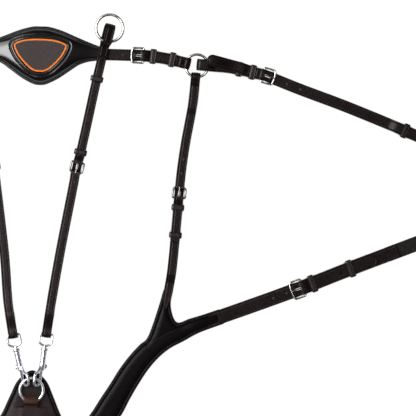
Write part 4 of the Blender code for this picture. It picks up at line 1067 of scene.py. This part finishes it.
def patternPiece(name, outline, top, bottom, insets, pitch, lines=()):
    # top and bottom give the height at (inset, x, y); lines are seams that the mesh follows
    outline, inward = rimOf(outline, pattern["rimStep"])
    taken = [outline]
    for inset in insets:
        ring = outline + inward * inset
        taken.append(ring[(distanceTo(ring, outline) > inset - pattern["near"]) & inside(ring, outline)])
    for line in lines:
        fine = resample(line, pattern["seamStep"], closed=False)
        for shift in pattern["besideSeam"]:
            row = fine + sideways(headings(fine)) * shift * mm
            row = row[inside(row, outline)]
            taken.append(row[distanceTo(row, outline) > insets[-1] * 0.5])
    low, high = outline.min(0), outline.max(0)
    xs = np.arange(low[0], high[0], pitch)
    ys = np.arange(low[1], high[1], pitch * 0.866)
    grid = np.array([(x + (pitch / 2 if k % 2 else 0), y) for k, y in enumerate(ys) for x in xs])
    grid = grid[inside(grid, outline)]
    grid = grid[distanceTo(grid, outline) > insets[-1] + pitch * 0.5]
    for line in lines:
        grid = grid[distanceTo(grid, line, closed=False) > pattern["seamRoom"]]
    points = np.vstack([*taken, grid])
    rim = [(k, (k + 1) % len(outline)) for k in range(len(outline))]
    found = delaunay_2d_cdt([Vector(p) for p in points], rim, [], 1, 1e-7)
    spots = np.array([tuple(p) for p in found[0]])
    triangles = [tuple(f) for f in found[2]]
    inset = distanceTo(spots, outline)
    count = len(spots)
    upper, under = (np.column_stack([spots, level(inset, *spots.T)]) for level in (top, bottom))
    onRim = inset < pattern["onRim"]
    under[onRim] = upper[onRim]
    faces = triangles + [(a + count, c + count, b + count) for a, b, c in triangles]
    both = np.vstack([upper, under])
    return meshOf(name, both, faces, np.concatenate([inset, inset]), both)


def seamAt(outline, inset):
    # a closed row of points at a distance in from an outline
    outline, inward = rimOf(outline, 1.5 * mm)
    ring = outline + inward * inset
    return ring[distanceTo(ring, outline) > abs(inset) - pattern["near"] * 2]


def sewRim(ring, inset, top):
    # sewing along the sewn edge of a padded piece, apart where straps cross it
    breaks = np.where(np.hypot(*np.diff(ring, axis=0).T) > 5 * mm)[0] + 1
    for run in np.split(ring, breaks):
        if len(run) > 4:
            addRow("breastplate", np.column_stack([run, top(np.full(len(run), inset), *run.T) + 0.02 * mm]))


# Yoke

yoke = {
    "edge": 2 * mm,
    "flange": 4.2 * mm,         # height of the sewn edge
    "seam": 4.6 * mm,           # the seam beside the padding, in from the edge
    "seamWide": 0.45 * mm,
    "seamDeep": 0.5 * mm,
    "stitchIn": 3.1 * mm,
    "padRoll": 8 * mm,
    "thinFrom": 224 * mm,       # outward from here the girth branches get thinner
    "thinOver": 38 * mm,
    "domeTop": 11.3 * mm,       # the chest shield's padding closes over the tab
    "domeHalf": 31 * mm,
    "domeEnd": -78 * mm,
    "slitAt": -23.4 * mm,       # where the tab comes out of the shield
    "slitHalf": 12.5 * mm,
    "lipDeep": 1.2 * mm,
}
yokeOutline = [(0, 27), (19.3, 13.2), (30.6, -10), (42, -36), (57.5, -61.5, "corner"), (80.7, -35),
               (95.5, -11.3), (108.8, 9.9), (122.3, 32.6), (135.7, 51.1), (149.3, 66.7), (160.5, 78),
               (173.1, 116.1), (180.8, 145, "corner"), (194.6, 146.5, "corner"),
               (191.2, 122), (199.9, 99.4), (217.9, 104.8), (238.6, 111.6),
               (259, 119.2, "corner"), (266.8, 99.2, "corner"), (232.4, 85.7), (211.7, 73.9),
               (191.1, 62.2), (174.8, 47.9), (161.2, 30.9), (147.9, 9.5), (137.2, -10.2),
               (125.2, -33.9), (105, -62), (76, -88), (40, -106), (0, -113)]
bandSeam = [(157.1, 65.4), (173, 76.5), (189.8, 85.5), (206.8, 93.4), (233.3, 104.9)]  # across the Y patch
bandSeams = [np.array([(x * side * mm, y * mm) for x, y in bandSeam]) for side in sides.values()]


def yokeTop(inset, x, y):
    high = yoke["edge"] + (yoke["flange"] - yoke["edge"]) * rounded(inset, yoke["edge"])
    high = high + (yokeThick - yoke["flange"]) * rounded(inset - yoke["seam"], yoke["padRoll"])
    high = high - yoke["seamDeep"] * bell(inset - yoke["seam"], yoke["seamWide"])
    spots = np.column_stack([x, y])
    gap = np.minimum(*(distanceTo(spots, seam, closed=False) for seam in bandSeams))
    high = high - yoke["seamDeep"] * bell(gap, 0.5 * mm) * smoothStep((inset - 6.5 * mm) / (4 * mm))
    high = high * (1 - 0.5 * smoothStep((np.abs(x) - yoke["thinFrom"]) / yoke["thinOver"]))
    slit = yoke["slitAt"]
    front = smoothStep((slit + 0.6 * mm - y) / (2.4 * mm))
    back = smoothStep((y - yoke["domeEnd"]) / (38 * mm))
    across = smoothStep((yoke["domeHalf"] - np.abs(x)) / (20 * mm)) * smoothStep((inset - 6 * mm) / (10 * mm))
    high = high + (yoke["domeTop"] - yokeThick) * front * back * across
    lip = bell(y - slit - 0.4 * mm, 0.8 * mm) * smoothStep((yoke["slitHalf"] - np.abs(x)) / (2 * mm))
    return high - yoke["lipDeep"] * lip * (1 - front)


def yokeBottom(inset, x, y):
    return yoke["edge"] * (1 - rounded(inset, 1.6 * mm)) + 0.05 * mm


def addYoke():
    outline = patternOutline(yokeOutline)
    insets = np.array([0.25, 0.7, 1.3, 2.0, 3.0, 3.7, 4.1, 4.4, 4.6, 4.8, 5.1, 5.6, 6.5, 8.0]) * mm
    slitRow = [(x * mm, yoke["slitAt"]) for x in (-24, -12, 0, 12, 24)]
    mesh = patternPiece("yoke", outline, yokeTop, yokeBottom, insets, 2.6 * mm, [slitRow, *bandSeams])
    spots = np.array([v.co for v in mesh.vertices])
    # painted sheen on the chest shield: away from its edges it gets a lighter colour through the sheen
    # attribute, which here takes the place of the crease line
    chest = smoothStep((60 * mm - np.abs(spots[:, 0])) / (35 * mm))
    chest = chest * smoothStep((22 * mm - spots[:, 1]) / (20 * mm))
    giveValues(mesh, "paintedSheen", chest * smoothStep((distanceTo(spots[:, :2], outline) - 5 * mm) / (3 * mm)))
    piece = addObject("yokeBand", mesh, finishes["yokeLeather"], 60)
    settle(piece, "breastplate", "padded_leather", "yoke")
    ring = seamAt(outline, yoke["stitchIn"])
    crossed = (np.abs(ring[:, 1] - 146 * mm) < 6 * mm) | (np.abs(np.abs(ring[:, 0]) - 263 * mm) < 5 * mm)
    sewRim(ring[~crossed], yoke["stitchIn"], yokeTop)


# Wither pad and its badge

witherPad = {
    "y": 471.5 * mm, "half": 90 * mm, "edge": 3 * mm, "high": 11 * mm, "roll": 17 * mm, "flange": 3.6 * mm,
    "stitchIn": 2.5 * mm, "seam": 4.4 * mm, "seamWide": 0.5 * mm, "seamDeep": 0.55 * mm,
    "tailOver": 70 * mm,        # the padding fades out over this length at both ends
    "badgeGap": 5.2 * mm,       # a groove runs round the badge at this distance, with a ridge inside it
    "grooveDeep": 1.1 * mm, "ridge": 0.5 * mm, "ridgeIn": 2.6 * mm,
}
padTop = [(0, 37), (12, 36.5), (29.5, 31.7), (47, 24.6), (64.7, 17.5), (77.6, 12.7), (90, 8.6)]
padBottom = [(0, -45.1), (9.3, -43.7), (25.3, -35.7), (42.5, -23.7), (54, -15.8), (65.5, -11.4), (77, -9.3),
             (90, -8.2)]
badgeOutline = [(0, 19.3), (20, 18), (34, 13.5), (37, 8), (30, -6), (16, -21), (7, -26.2), (0, -27)]
badgeLine = patternOutline([(x, y + witherPad["y"] / mm) for x, y in badgeOutline])


def padOutline():
    # each curve starts one point beyond the middle, so that it crosses the middle smoothly
    upper, lower = (smoothLine([(-edge[1][0], edge[1][1]), *edge], steps=8) for edge in (padTop, padBottom))
    half = np.vstack([upper[upper[:, 0] >= 0], lower[lower[:, 0] >= 0][::-1]])
    whole = np.vstack([half, (half * (-1, 1))[::-1]])
    keep = np.hypot(*np.diff(np.vstack([whole, whole[:1]]), axis=0).T) > 0.05
    return whole[keep] * mm + (0, witherPad["y"])


def padTopHeight(inset, x, y):
    w = witherPad
    high = w["edge"] / 2 * (1 + rounded(inset, 1.3 * mm))
    share = 1 - np.clip((inset - w["flange"]) / (w["roll"] - w["flange"]), 0, 1)
    tail = smoothStep((w["half"] - np.abs(x)) / w["tailOver"])
    high = high + (w["high"] - w["edge"]) * np.sqrt(np.clip(1 - share ** 2.2, 0, 1)) * tail
    high = high - w["seamDeep"] * bell(inset - w["seam"], w["seamWide"])
    spots = np.column_stack([x, y])
    gap = distanceTo(spots, badgeLine)
    gap = np.where(inside(spots, badgeLine), -gap, gap)
    groove = bell(gap - w["badgeGap"], 0.8 * mm)
    ridge = bell(gap - w["badgeGap"] + w["ridgeIn"], 1.5 * mm)
    underBadge = w["ridge"] * (1 - smoothStep(gap / (1.5 * mm)))
    return high - w["grooveDeep"] * groove + w["ridge"] * ridge - underBadge


def padUnder(inset, x, y):
    return witherPad["edge"] / 2 * (1 - rounded(inset, 1.2 * mm)) + 0.05 * mm


def addWitherPad():
    outline = padOutline()
    insets = np.array([0.2, 0.6, 1.1, 1.8, 2.6, 3.4, 3.9, 4.2, 4.4, 4.6, 4.9, 5.5, 6.4]) * mm
    groove = seamAt(badgeLine, -witherPad["badgeGap"])
    mesh = patternPiece("witherPad", outline, padTopHeight, padUnder, insets, 1.5 * mm,
                        [np.vstack([groove, groove[:1]])])
    piece = addObject("witherPad", mesh, finishes["padLeather"], 60)
    settle(piece, "breastplate", "padded_leather", "wither_pad")
    ring = seamAt(outline, witherPad["stitchIn"])
    sewRim(ring[np.abs(ring[:, 0]) < witherPad["half"] - 4 * mm], witherPad["stitchIn"], padTopHeight)


badge = {"floor": 10.9 * mm, "field": 12.5 * mm, "rimHigh": 13.4 * mm, "rimWide": 2.5 * mm}


def addBadge():
    def fieldTop(inset, x, y):
        return np.where(inset < pattern["onRim"], badge["floor"] + mm, badge["field"])

    def fieldUnder(inset, x, y):
        return np.full(len(x), badge["floor"])

    mesh = patternPiece("badge", badgeLine, fieldTop, fieldUnder, np.array([0.2, 1.2]) * mm, 1.6 * mm)
    settle(addObject("badgeField", mesh, finishes["patch"], 50), "breastplate", "badge", "wither_badge")
    outer, inward = rimOf(badgeLine, 1.2 * mm)
    levels = []
    for share in (0, 0.03, 0.12, 0.3, 0.5, 0.7, 0.88, 0.97, 1.0):
        crown = sqrt(1 - (share * 2 - 1) ** 4)
        levels.append((share, badge["field"] - 0.2 * mm + (badge["rimHigh"] - badge["field"]) * crown))
    levels += [(share, badge["floor"] + 0.4 * mm) for share in (1.0, 0.0)]
    rows = [np.column_stack([outer + inward * badge["rimWide"] * share, np.full(len(outer), level)])
            for share, level in levels]
    mesh = meshOf("badgeRim", np.vstack(rows), gridFaces(len(rows), len(outer), closed=True))
    settle(addObject("badgeRim", mesh, finishes["rim"], 60), "breastplate", "badge")


# Straps of one side

witherLine = [(203.9, 462.0), (185.2, 466.2), (155.8, 470.4), (128.4, 471.3), (95, 471.5), (60, 471.5)]
shoulderLine = [(182.3, 116), (187.3, 142.3), (191.6, 172), (195.3, 221.4), (199.5, 287.6), (202.3, 319.9),
                (206.8, 355), (214.7, 404.2), (217.9, 442.9)]
saddleLine = [(235.3, 459.6), (266.8, 457.5), (301, 451), (319, 446.5), (363.1, 430.2),
              (422.8, 409.6), (476.8, 389.4), (512.9, 375.2), (545, 362.6)]
saddleBilletLine = [(233.3, 468.6), (253, 463.9), (277, 458.2), *saddleLine[2:]]    # its tip has swung out
girthLine = [(708, 288.7), (643, 262.4), (503.9, 206.2), (441.5, 180.8), (388.9, 158.4),
             (360.5, 146.9), (319.7, 130.9), (262.7, 109.1), (235, 98.5)]
martingaleLines = {
    1: [(92, 489.3), (80, 436.2), (68.8, 378.8), (61.8, 343.4), (57.1, 321.5),
        (52.6, 301.3), (50.6, 287.3), (35.1, 196.1), (24.5, 125.6), (18.9, 79.2)],
    -1: [(-98, 489.3), (-86, 436.2), (-75, 378.8), (-67.5, 343.4), (-64, 321.5),
         (-60, 301.3), (-57.5, 287.3), (-43.5, 190), (-36.8, 124), (-28.1, 76.7)],
}


def addBuckled(kind, name, line, path, width, sHeel, long, keepers, body, **options):
    # a chape with its keepers and its buckle
    addChape(kind + "Chape" + name.capitalize(), line, path, width, sHeel, keepers, body,
             f"{kind}_chape_{name}", **options)
    addBuckle(kind, name, line, sHeel, long, width, body)


def addWither(name, side):
    line = StrapLine(witherLine, side)
    width, body = leather["medium"], "breastplate"
    sFront = line.nearest((128.4, 471.3))
    sHeel = sFront - longBuckle
    addBuckled("wither", name, line, ringChapePath(sHeel, 1.1 * mm, ringEye), width, sHeel, longBuckle,
               line.nearest((157.8, 470.2), (184.5, 466.3)), body, closed=True)
    sTip = line.nearest((193, 464.6))
    path = billetPath(sTip, sHeel, sFront) + [(line.length - holePitch, flat), (line.length, flat + clear)]
    addBillet("witherBillet" + name.capitalize(), line, path, width, body, sHeel, sFront,
              [sFront + holePitch * 0.7], sTip)
    edgeRows(line, body, sFront + 2 * mm, line.length - 32 * mm, width, rimOnBillet)


def addShoulder(name, side):
    line = StrapLine(shoulderLine, side)
    width, body = leather["narrow"], "breastplate"
    sFront, sUpper, sUp, sWide, sTip = line.nearest((199.5, 287.6), (194.8, 214), (188.8, 153.5),
                                                    (187.3, 142.3), (194.9, 210))
    sHeel = sFront - shortBuckle

    def taper(s):
        # the sewn end narrows to a rounded tongue on the yoke
        tip = np.clip((s - foldStep) / (3 * mm), 0, 1)
        spread = 0.42 + 0.58 * smoothStep((s - foldStep) / (sWide - foldStep))
        return spread * np.sqrt(1 - (1 - tip) ** 2 * 0.9)

    lowerPath = [*ramp(sUp + rampLong * 1.5, lowerPly, sUp, onYoke), (foldStep * 2.5, onYoke),
                 (foldStep, onYoke)]
    addBuckled("shoulder", name, line, sewnChapePath(sUpper, lowerPath, sHeel), width, sHeel, shortBuckle,
               line.nearest((197.2, 260), (195.3, 221.4)), body, both=True, taper=taper)
    path = billetPath(sTip, sHeel, sFront) + foldPath(line.length - 42 * mm, line.length, ringLevel, strapEye)
    addBillet("shoulderStrap" + name.capitalize(), line, path, width, body, sHeel, sFront,
              [sFront + holePitch * k for k in (1, 2)], sTip, ["shoulder_strap_" + name])
    edgeRows(line, body, line.length - 38 * mm, line.length - 14 * mm, width,
             foldUpper + billet / 2 - leather["shoulder"])
    for x in (-2 * mm, 2 * mm):
        strapRow(line, body, foldStep * 2.5, sWide + 4 * mm, x, onYoke + ply / 2 - sunk)


def addSaddle(name, side):
    line = StrapLine(saddleLine, side)
    width, body = leather["medium"], "saddle_side_" + name
    sHeel = line.nearest((327, 444)) - longBuckle
    addBuckled("saddle", name, line, ringChapePath(sHeel, 11 * mm, ringEye), width, sHeel, longBuckle,
               [line.nearest((297.5, 451.7))], body, closed=True, free=line.nearest((279, 455.5)))
    laid = StrapLine(saddleBilletLine, side)
    sFront, sKeeper = laid.nearest((327, 444), (512.9, 375.2))
    sHeel = sFront - longBuckle
    path = [(0.0, overLoop), *ramp(9 * mm, overLoop, 38 * mm, overKeeper),
            *ramp(52 * mm, overKeeper, 60 * mm, onStack), *billetPath(60 * mm, sHeel, sFront)[1:],
            *foldPath(sKeeper - 13 * mm, laid.length, snapLevel, strapEye)]
    loop = keeperMesh(laid, sKeeper, width, billet, foldUpper + billet / 2 + clear)
    addBillet("saddleStrap" + name.capitalize(), laid, path, width, body, sHeel, sFront,
              [sFront + holePitch * k for k in (1, 2)], 0.0, ["saddle_strap_" + name], [loop])
    edgeRows(laid, body, sFront + 2 * mm, sKeeper - 28 * mm, width, rimOnBillet)
    along = -line.way(line.length - 5 * mm)
    addSnap("saddle", name, "saddleSnap",
            snapFrame(line.at(line.length, snapLevel) - along * snap["eyeTo"], along, pi / 2 * side))


elastic = {
    "thick": 1.7 * mm, "wide": 20.6 * mm, "overlap": 12 * mm, "step": 0.29 * mm, "columns": 37,
    "rib": 1.15 * mm, "ribHigh": 0.16 * mm, "cord": 1.1 * mm, "cordHigh": 0.06 * mm,
}


def addGirth(name, side):
    line = StrapLine(girthLine, side)
    label = name.capitalize()
    width, body = leather["wide"], "breastplate"
    sFront, sSeam, sFar, sTip, sRoot = line.nearest((360.5, 146.9), (503.9, 206.2), (643, 262.4),
                                                    (478.1, 195.8), (262.7, 109.1))
    sHeel = sFront - longBuckle
    overlap = elastic["overlap"]
    path = sewnChapePath(sSeam - overlap / 3, [(sSeam + overlap, lowerPly)], sHeel)
    addBuckled("girth", name, line, path, width, sHeel, longBuckle,
               line.nearest((388.9, 158.4), (441.5, 180.8)), body)
    path = billetPath(sTip, sHeel, sFront) + [(sRoot, flat + clear), (line.length, flat + clear)]
    holes = line.nearest((334.2, 136.2), (352.6, 143.8), (410.8, 166.7), (429.4, 174.2))
    addBillet("girthBillet" + label, line, path, width, body, sHeel, sFront, holes, sTip)
    edgeRows(line, body, sFront + 2 * mm, sRoot - rampLong * 1.9, width, rimOnBillet)
    edgeRows(line, body, sSeam - 2 * mm, sTip - 4 * mm, width, rimOnStack)
    addRow(body, line.place([(sSeam - 1 * mm, x, stackTop - sunk) for x in np.linspace(-8, 8, 9) * mm]))
    sInner, sOuter = sSeam + overlap - 2 * clear, sFar - overlap
    addElastic(line, sOuter, sInner, name)
    middle = girthEye + lowerPly
    path = [(sFar + overlap / 3, upperPly), (sOuter + mm, upperPly),
            *ramp(sOuter - overlap / 2, upperPly, sOuter - overlap * 1.3, middle + girthEye, 8),
            *arc(girthEye, middle, girthEye, 90, 270), (sOuter - 2 * clear - ply / 2, lowerPly)]
    loop = "girth_loop_" + name
    mesh = strapMesh(line, runOut(path), width, ply)
    settle(addObject("girthLoop" + label, mesh, finishes["strapLeather"]), loop, "leather", loop)
    edgeRows(line, loop, sFar + 2 * mm, sOuter - 4 * mm, width, rimOnStack)


def addElastic(line, sFrom, sTo, name):
    # corded elastic: its ribs run across, raised by the weft
    s = np.linspace(sFrom, sTo, int(abs(sTo - sFrom) / elastic["step"]) + 1)
    thick = elastic["thick"] / 2
    cuts = np.linspace(-1, 1, elastic["columns"])
    x = elastic["wide"] / 2 * cuts
    edge = np.sqrt(np.clip(1 - np.clip((np.abs(cuts) - 0.93) / 0.07, 0, 1) ** 2, 0, 1))
    ribs = elastic["ribHigh"] * (np.abs(np.sin(pi * s / elastic["rib"])) - 1)
    cords = elastic["cordHigh"] * (np.abs(np.sin(pi * x / elastic["cord"])) - 1)
    level = clear / 2 + thick
    along, across = np.meshgrid(s, x, indexing="ij")
    high = (thick + ribs[:, None] + cords) * edge
    points = np.vstack([np.stack([along, across, level + sign * high], -1).reshape(-1, 3)
                        for sign in (1, -1)])
    wide, far = len(x), len(s) * len(x)
    faces = []
    for a in (row * wide + k for row in range(len(s) - 1) for k in range(wide - 1)):
        b = a + far
        faces += [(a, a + wide, a + wide + 1, a + 1), (b, b + 1, b + wide + 1, b + wide)]
    for a in (0, far - wide):
        faces += [(a + k, a + k + 1, a + k + 1 + far, a + k + far) for k in range(wide - 1)]
    mesh = meshOf("elastic", line.place(points), faces, None, points)
    piece = addObject("elastic" + name.capitalize(), mesh, finishes["webbing"], 80)
    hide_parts("girth_elastic_" + name)
    start, end = line.at(sTo, level), line.at(sFrom, level)
    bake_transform(piece)


martingale = {
    "front": 187.5 * mm, "keepers": (54 * mm, 159 * mm), "tip": 20 * mm, "firstHole": 58 * mm,
    "loop": 17 * mm, "fold": 34 * mm, "rise": 7 * mm, "overlap": 12 * mm,
    "loopEye": 7.4 * mm, "loopRoll": radians(-16),
}


def addMartingale(name, side):
    label = name.capitalize()
    width, body = leather["narrow"], "martingale_arm_" + name
    sFront, fold = martingale["front"], martingale["fold"]
    sHeel = sFront - shortBuckle
    sFlat = sFront + martingale["overlap"]
    level = StrapLine(martingaleLines[side], rise=lambda s: martingale["rise"] * np.maximum(1 - s / sFlat, 0))
    line = StrapLine(martingaleLines[side], rise=level.rise, rollLevel=ringLevel,
                     roll=lambda s: martingale["loopRoll"] * smoothStep((44 * mm - s) / (46 * mm)))
    path = ringChapePath(sHeel, martingale["loop"], martingale["loopEye"])
    addBuckled("martingale", name, line, path, width, sHeel, shortBuckle, martingale["keepers"], body,
               closed=True)
    spot = level.at(0, ringLevel) - level.way(0.0) * martingaleRadius
    addRing("martingaleRing" + label, martingaleRadius, spot, "martingale_ring_" + name)
    grip = snap["grip"][side]
    catch = Vector((cos(grip), sin(grip), 0)) * chestRadius
    end = line.at(line.length, 0)
    end.z = 0
    inward = Vector((0, 0, 1)).cross((end - catch).normalized()) * side
    spot = catch - inward * snap["wireInHook"] * sin(snap["roll"])
    spot.z = chestLevel - snap["wireInHook"] * cos(snap["roll"])
    along = Vector((end.x, end.y, spot.z)) - spot
    addSnap("martingale", name, "swivelSnap", snapFrame(spot, along, snap["roll"] * side))
    addCasting("martingaleEye" + label, "swivelEye", snapFrame(spot, along, pi / 2), body,
               "martingale_snap_eye_" + name)
    sEye = line.length + along.length - snap["eyeTo"] + 1.2 * mm
    eye = wire["snap"] + 2 * clear + billet / 2
    sNeck = sEye - wire["snap"] * 2.4
    foldEnd = sEye - fold
    path = [*billetPath(martingale["tip"], sHeel, sFront),
            *ramp(foldEnd - fold, flat, foldEnd, foldUpper, 8),
            *ramp(foldEnd + foldStep, foldUpper, sNeck, spot.z + eye),
            *arc(sEye, spot.z, eye, 90, -90),
            *ramp(sNeck, spot.z - eye, foldEnd + foldStep, flat)]
    holes = [sFront + holePitch * 0.7] + [martingale["firstHole"] + holePitch * k for k in range(4)]
    addBillet("martingaleStrap" + label, line, path, width, body, sHeel, sFront, holes, martingale["tip"],
              ["martingale_strap_" + name])
    edgeRows(line, body, sFront + 3 * mm, foldEnd - fold - 2 * mm, width, rimOnBillet)


# Middle pieces

chestTab = {
    "seam": 12 * mm, "tail": 6 * mm,                    # along the tab, from the ring's edge
    "paintedShadeAt": -19.6 * mm, "paintedShadeFrom": -21.6 * mm,       # painted shade: a dark line at the tab's fold, and darker where it goes under the padding
}
girthStrap = {"wide": 28 * mm, "sewnFrom": 74 * mm, "sewnLong": 42 * mm, "overYoke": 24 * mm}


def addChest():
    addRing("chestRing", chestRadius, (0, 0, chestLevel), "chest_ring", "chrome")
    width = leather["wide"]
    line = StrapLine([(0, -chestRadius / mm), (0, -30), (0, -60)])
    deviation = chestRadius - sqrt(chestRadius ** 2 - (width / 2) ** 2)
    radius = wire["ring"] + deviation / 2 + 0.8 * mm + ply / 2
    base = yokeThick + clear
    sSeam = chestTab["seam"]
    sEnd = sSeam + chestTab["tail"]
    path = [(sEnd, base + lowerPly * 1.1), (sSeam - 3 * mm, base + lowerPly),
            *ramp(sSeam - 4 * mm, base + lowerPly, 1 * mm, chestLevel - radius, 8),
            *arc(-deviation / 2, chestLevel, radius, -90, -270, 24),
            *ramp(1.7 * mm, chestLevel + radius, 5.6 * mm, base + upperPly + 0.4 * mm, 10),
            (sEnd, base + upperPly)]
    mesh = strapMesh(line, runOut(path, gap=mm), width, ply, flip=True)
    y = np.array([v.co.y for v in mesh.vertices])
    # painted shade, through the edge attribute and the tab material's dark edge colour: a dark line where the
    # tab bends down into the slit, and darker where it goes under the padding
    dark = np.exp(-((y - chestTab["paintedShadeAt"]) / (0.9 * mm)) ** 4) + smoothStep((chestTab["paintedShadeFrom"] - y) / mm)
    giveValues(mesh, "edge", np.clip(dark, 0, 1))
    giveValues(mesh, "paintedSheen", np.zeros(len(y)))
    settle(addObject("chestTab", mesh, finishes["fleshSide"]), "breastplate", "leather", "chest_tab")


def addGirthStrap():
    width, sSewn = girthStrap["wide"], girthStrap["sewnFrom"]
    line = StrapLine([(0, -452), (0, -300), (0, -100)])
    middle = lowerPly + girthEye
    sYoke = line.nearest((0, -122))
    sFolded, sEnd = sSewn + girthStrap["sewnLong"], line.length + girthStrap["overYoke"]
    path = [(sFolded, lowerPly), (sSewn, lowerPly), *arc(girthEye, middle, girthEye, -90, -270),
            *ramp(sSewn - rampLong, middle + girthEye, sSewn + rampLong, upperPly, 10), (sFolded, upperPly),
            *ramp(sYoke - rampLong * 1.8, upperPly, sYoke + foldStep, onYoke, 12), (sEnd, onYoke)]
    mesh = strapMesh(line, runOut(path), width, ply)
    settle(addObject("girthStrap", mesh, finishes["strapLeather"]), "breastplate", "leather", "girth_strap")
    edgeRows(line, "breastplate", sSewn + 4 * mm, sFolded - 2 * mm, width, stackTop - sunk)
    edgeRows(line, "breastplate", sYoke + 6 * mm, sEnd - 3 * mm, width, onYoke + ply / 2 - sunk)


def addStitches(body, rows):
    edges = []
    start = 0
    for points, _ in rows:
        edges += [(start + k, start + k + 1) for k in range(len(points) - 1)]
        start += len(points)
    mesh = plainMesh("stitches", np.vstack([points for points, _ in rows]), edges)
    giveValues(mesh, "up", np.vstack([ups for _, ups in rows]))
    piece = newObject("stitches." + body, mesh)
    giveTree(piece, stitchTree, {"Material": finishes["thread"]})
    bakeNodes(piece).shade_smooth()
    settle(piece, body, "leather")


addYoke()
addWitherPad()
addBadge()
addChest()
addGirthStrap()
print("middle pieces done")
for name, side in sides.items():
    addRing("junctionRing" + name.capitalize(), junctionRadius,
            (junctionAt[0] * mm * side, junctionAt[1] * mm, ringLevel), "junction_ring_" + name)
    addWither(name, side)
    addShoulder(name, side)
    addSaddle(name, side)
    addGirth(name, side)
    addMartingale(name, side)
    print(name, "side done")
for body, rows in stitchRows.items():
    addStitches(body, rows)
print("stitch rows:", {body: len(rows) for body, rows in stitchRows.items()})


# Table, light and camera

studio = {
    "viewWide": 582.4 * mm, "aim": (239.9 * mm, 260.4 * mm), "roll": radians(1.47), "height": 5.0,
    "table": 4.0, "tableLevel": -0.3 * mm, "background": 1.06, "room": 0.45, "window": (-0.54, 0.17, 0.824),
    "bands": ((0.12, 0.38), (0.3, 0.12), (0.6, 0.03), (0.85, 0.06), (0.96, 0.2)),
}


def mixShaders(factor, a, b):
    return addNode(a.id_data, "MixShader", {"Fac": factor, 1: a, 2: b}).outputs[0]


def addTable():
    half, level = studio["table"], studio["tableLevel"]
    corners = [(-half, -half, level), (half, -half, level), (half, half, level), (-half, half, level)]
    mesh = plainMesh("table", corners, faces=[(0, 1, 2, 3)])
    table = newObject("table", mesh)
    material = bpy.data.materials.new("tableTop")
    material.use_nodes = True
    tree = material.node_tree
    tree.nodes.clear()
    lit = addNode(tree, "BsdfDiffuse", {"Color": (0.82, 0.82, 0.82, 1)}).outputs[0]
    shut = addNode(tree, "AmbientOcclusion", {"Distance": 5 * mm}, samples=12).outputs["AO"]
    shade = mapRange(shut, 0.4, 0.62, 0.01, 1.0)
    glow = addNode(tree, "Emission", {"Strength": studio["background"], "Color": shade})
    soft = mixShaders(0.93, lit, glow.outputs[0])
    # the camera, gloss and glass see the white background; the table keeps the object's shadow
    rays = addNode(tree, "LightPath").outputs
    mirrored = calc("MAXIMUM", rays["Is Glossy Ray"], rays["Is Transmission Ray"])
    seen = calc("MAXIMUM", rays["Is Camera Ray"], mirrored)
    addNode(tree, "OutputMaterial", {"Surface": mixShaders(seen, lit, soft)})
    mesh.materials.append(material)


def addLight(name, spot, aim, size, power, glossy=True):
    data = bpy.data.lights.new(name, "AREA")
    data.shape, data.size, data.energy = "DISK", size, power
    lamp = newObject(name, data)
    lamp.visible_glossy = glossy
    lamp.location = spot
    lamp.rotation_mode = "QUATERNION"
    lamp.rotation_quaternion = (Vector(aim) - Vector(spot)).to_track_quat("-Z", "Y")


def addStudio():
    world = bpy.data.worlds.new("studio")
    world.use_nodes = True
    tree = world.node_tree
    tree.nodes.clear()
    around = addNode(tree, "TexCoord").outputs["Generated"]
    parts = addNode(tree, "SeparateXYZ", {0: around})
    bands = addNode(tree, "ValToRGB", {"Fac": parts.outputs["Z"]})
    stops = bands.color_ramp.elements
    for spot, grey in studio["bands"]:
        stops.new(spot).color = (grey, grey, grey, 1)
    stops[0].color, stops[-1].color = (0.4, 0.4, 0.4, 1), (0.3, 0.3, 0.31, 1)
    aside = addNode(tree, "VectorMath", {0: around, 1: studio["window"]}, operation="DOT_PRODUCT")
    window = mapRange(aside.outputs["Value"], 0.905, 0.96, 0.0, 7.0, interpolation_type="SMOOTHSTEP")
    mirrored = blended(bands.outputs[0], window, blend="ADD")
    plain = (1, 1, 1, 1)
    white, room, mirrored = (
        addNode(tree, "Background", {"Color": colour, "Strength": strength}).outputs[0]
        for colour, strength in ((plain, studio["background"]), (plain, studio["room"]), (mirrored, 1.0)))
    rays = addNode(tree, "LightPath").outputs
    glossy = mixShaders(rays["Is Glossy Ray"], room, mirrored)
    addNode(tree, "OutputWorld", {"Surface": mixShaders(rays["Is Camera Ray"], glossy, white)})
    bpy.context.scene.world = world
    addLight("windowLeft", (-0.72, 0.36, 1.5), (0.0, 0.36, 0), 0.85, 18)
    addLight("fillRight", (1.6, 0.2, 1.5), (0.2, 0.2, 0), 1.1, 3.5, glossy=False)
    addLight("backSoft", (0.3, -1.5, 1.8), (0.2, 0.2, 0), 1.0, 5, glossy=False)


def addCamera():
    data = bpy.data.cameras.new("camera")
    data.type = "PERSP"
    data.sensor_width = 36
    data.lens = data.sensor_width * studio["height"] / studio["viewWide"]
    data.clip_end = 30
    camera = newObject("camera", data)
    camera.location = (*studio["aim"], studio["height"])
    camera.rotation_euler = (0, 0, studio["roll"])
    bpy.context.scene.camera = camera


addTable()
addStudio()
addCamera()
bpy.context.scene.view_settings.view_transform = "Standard"
print("studio done")
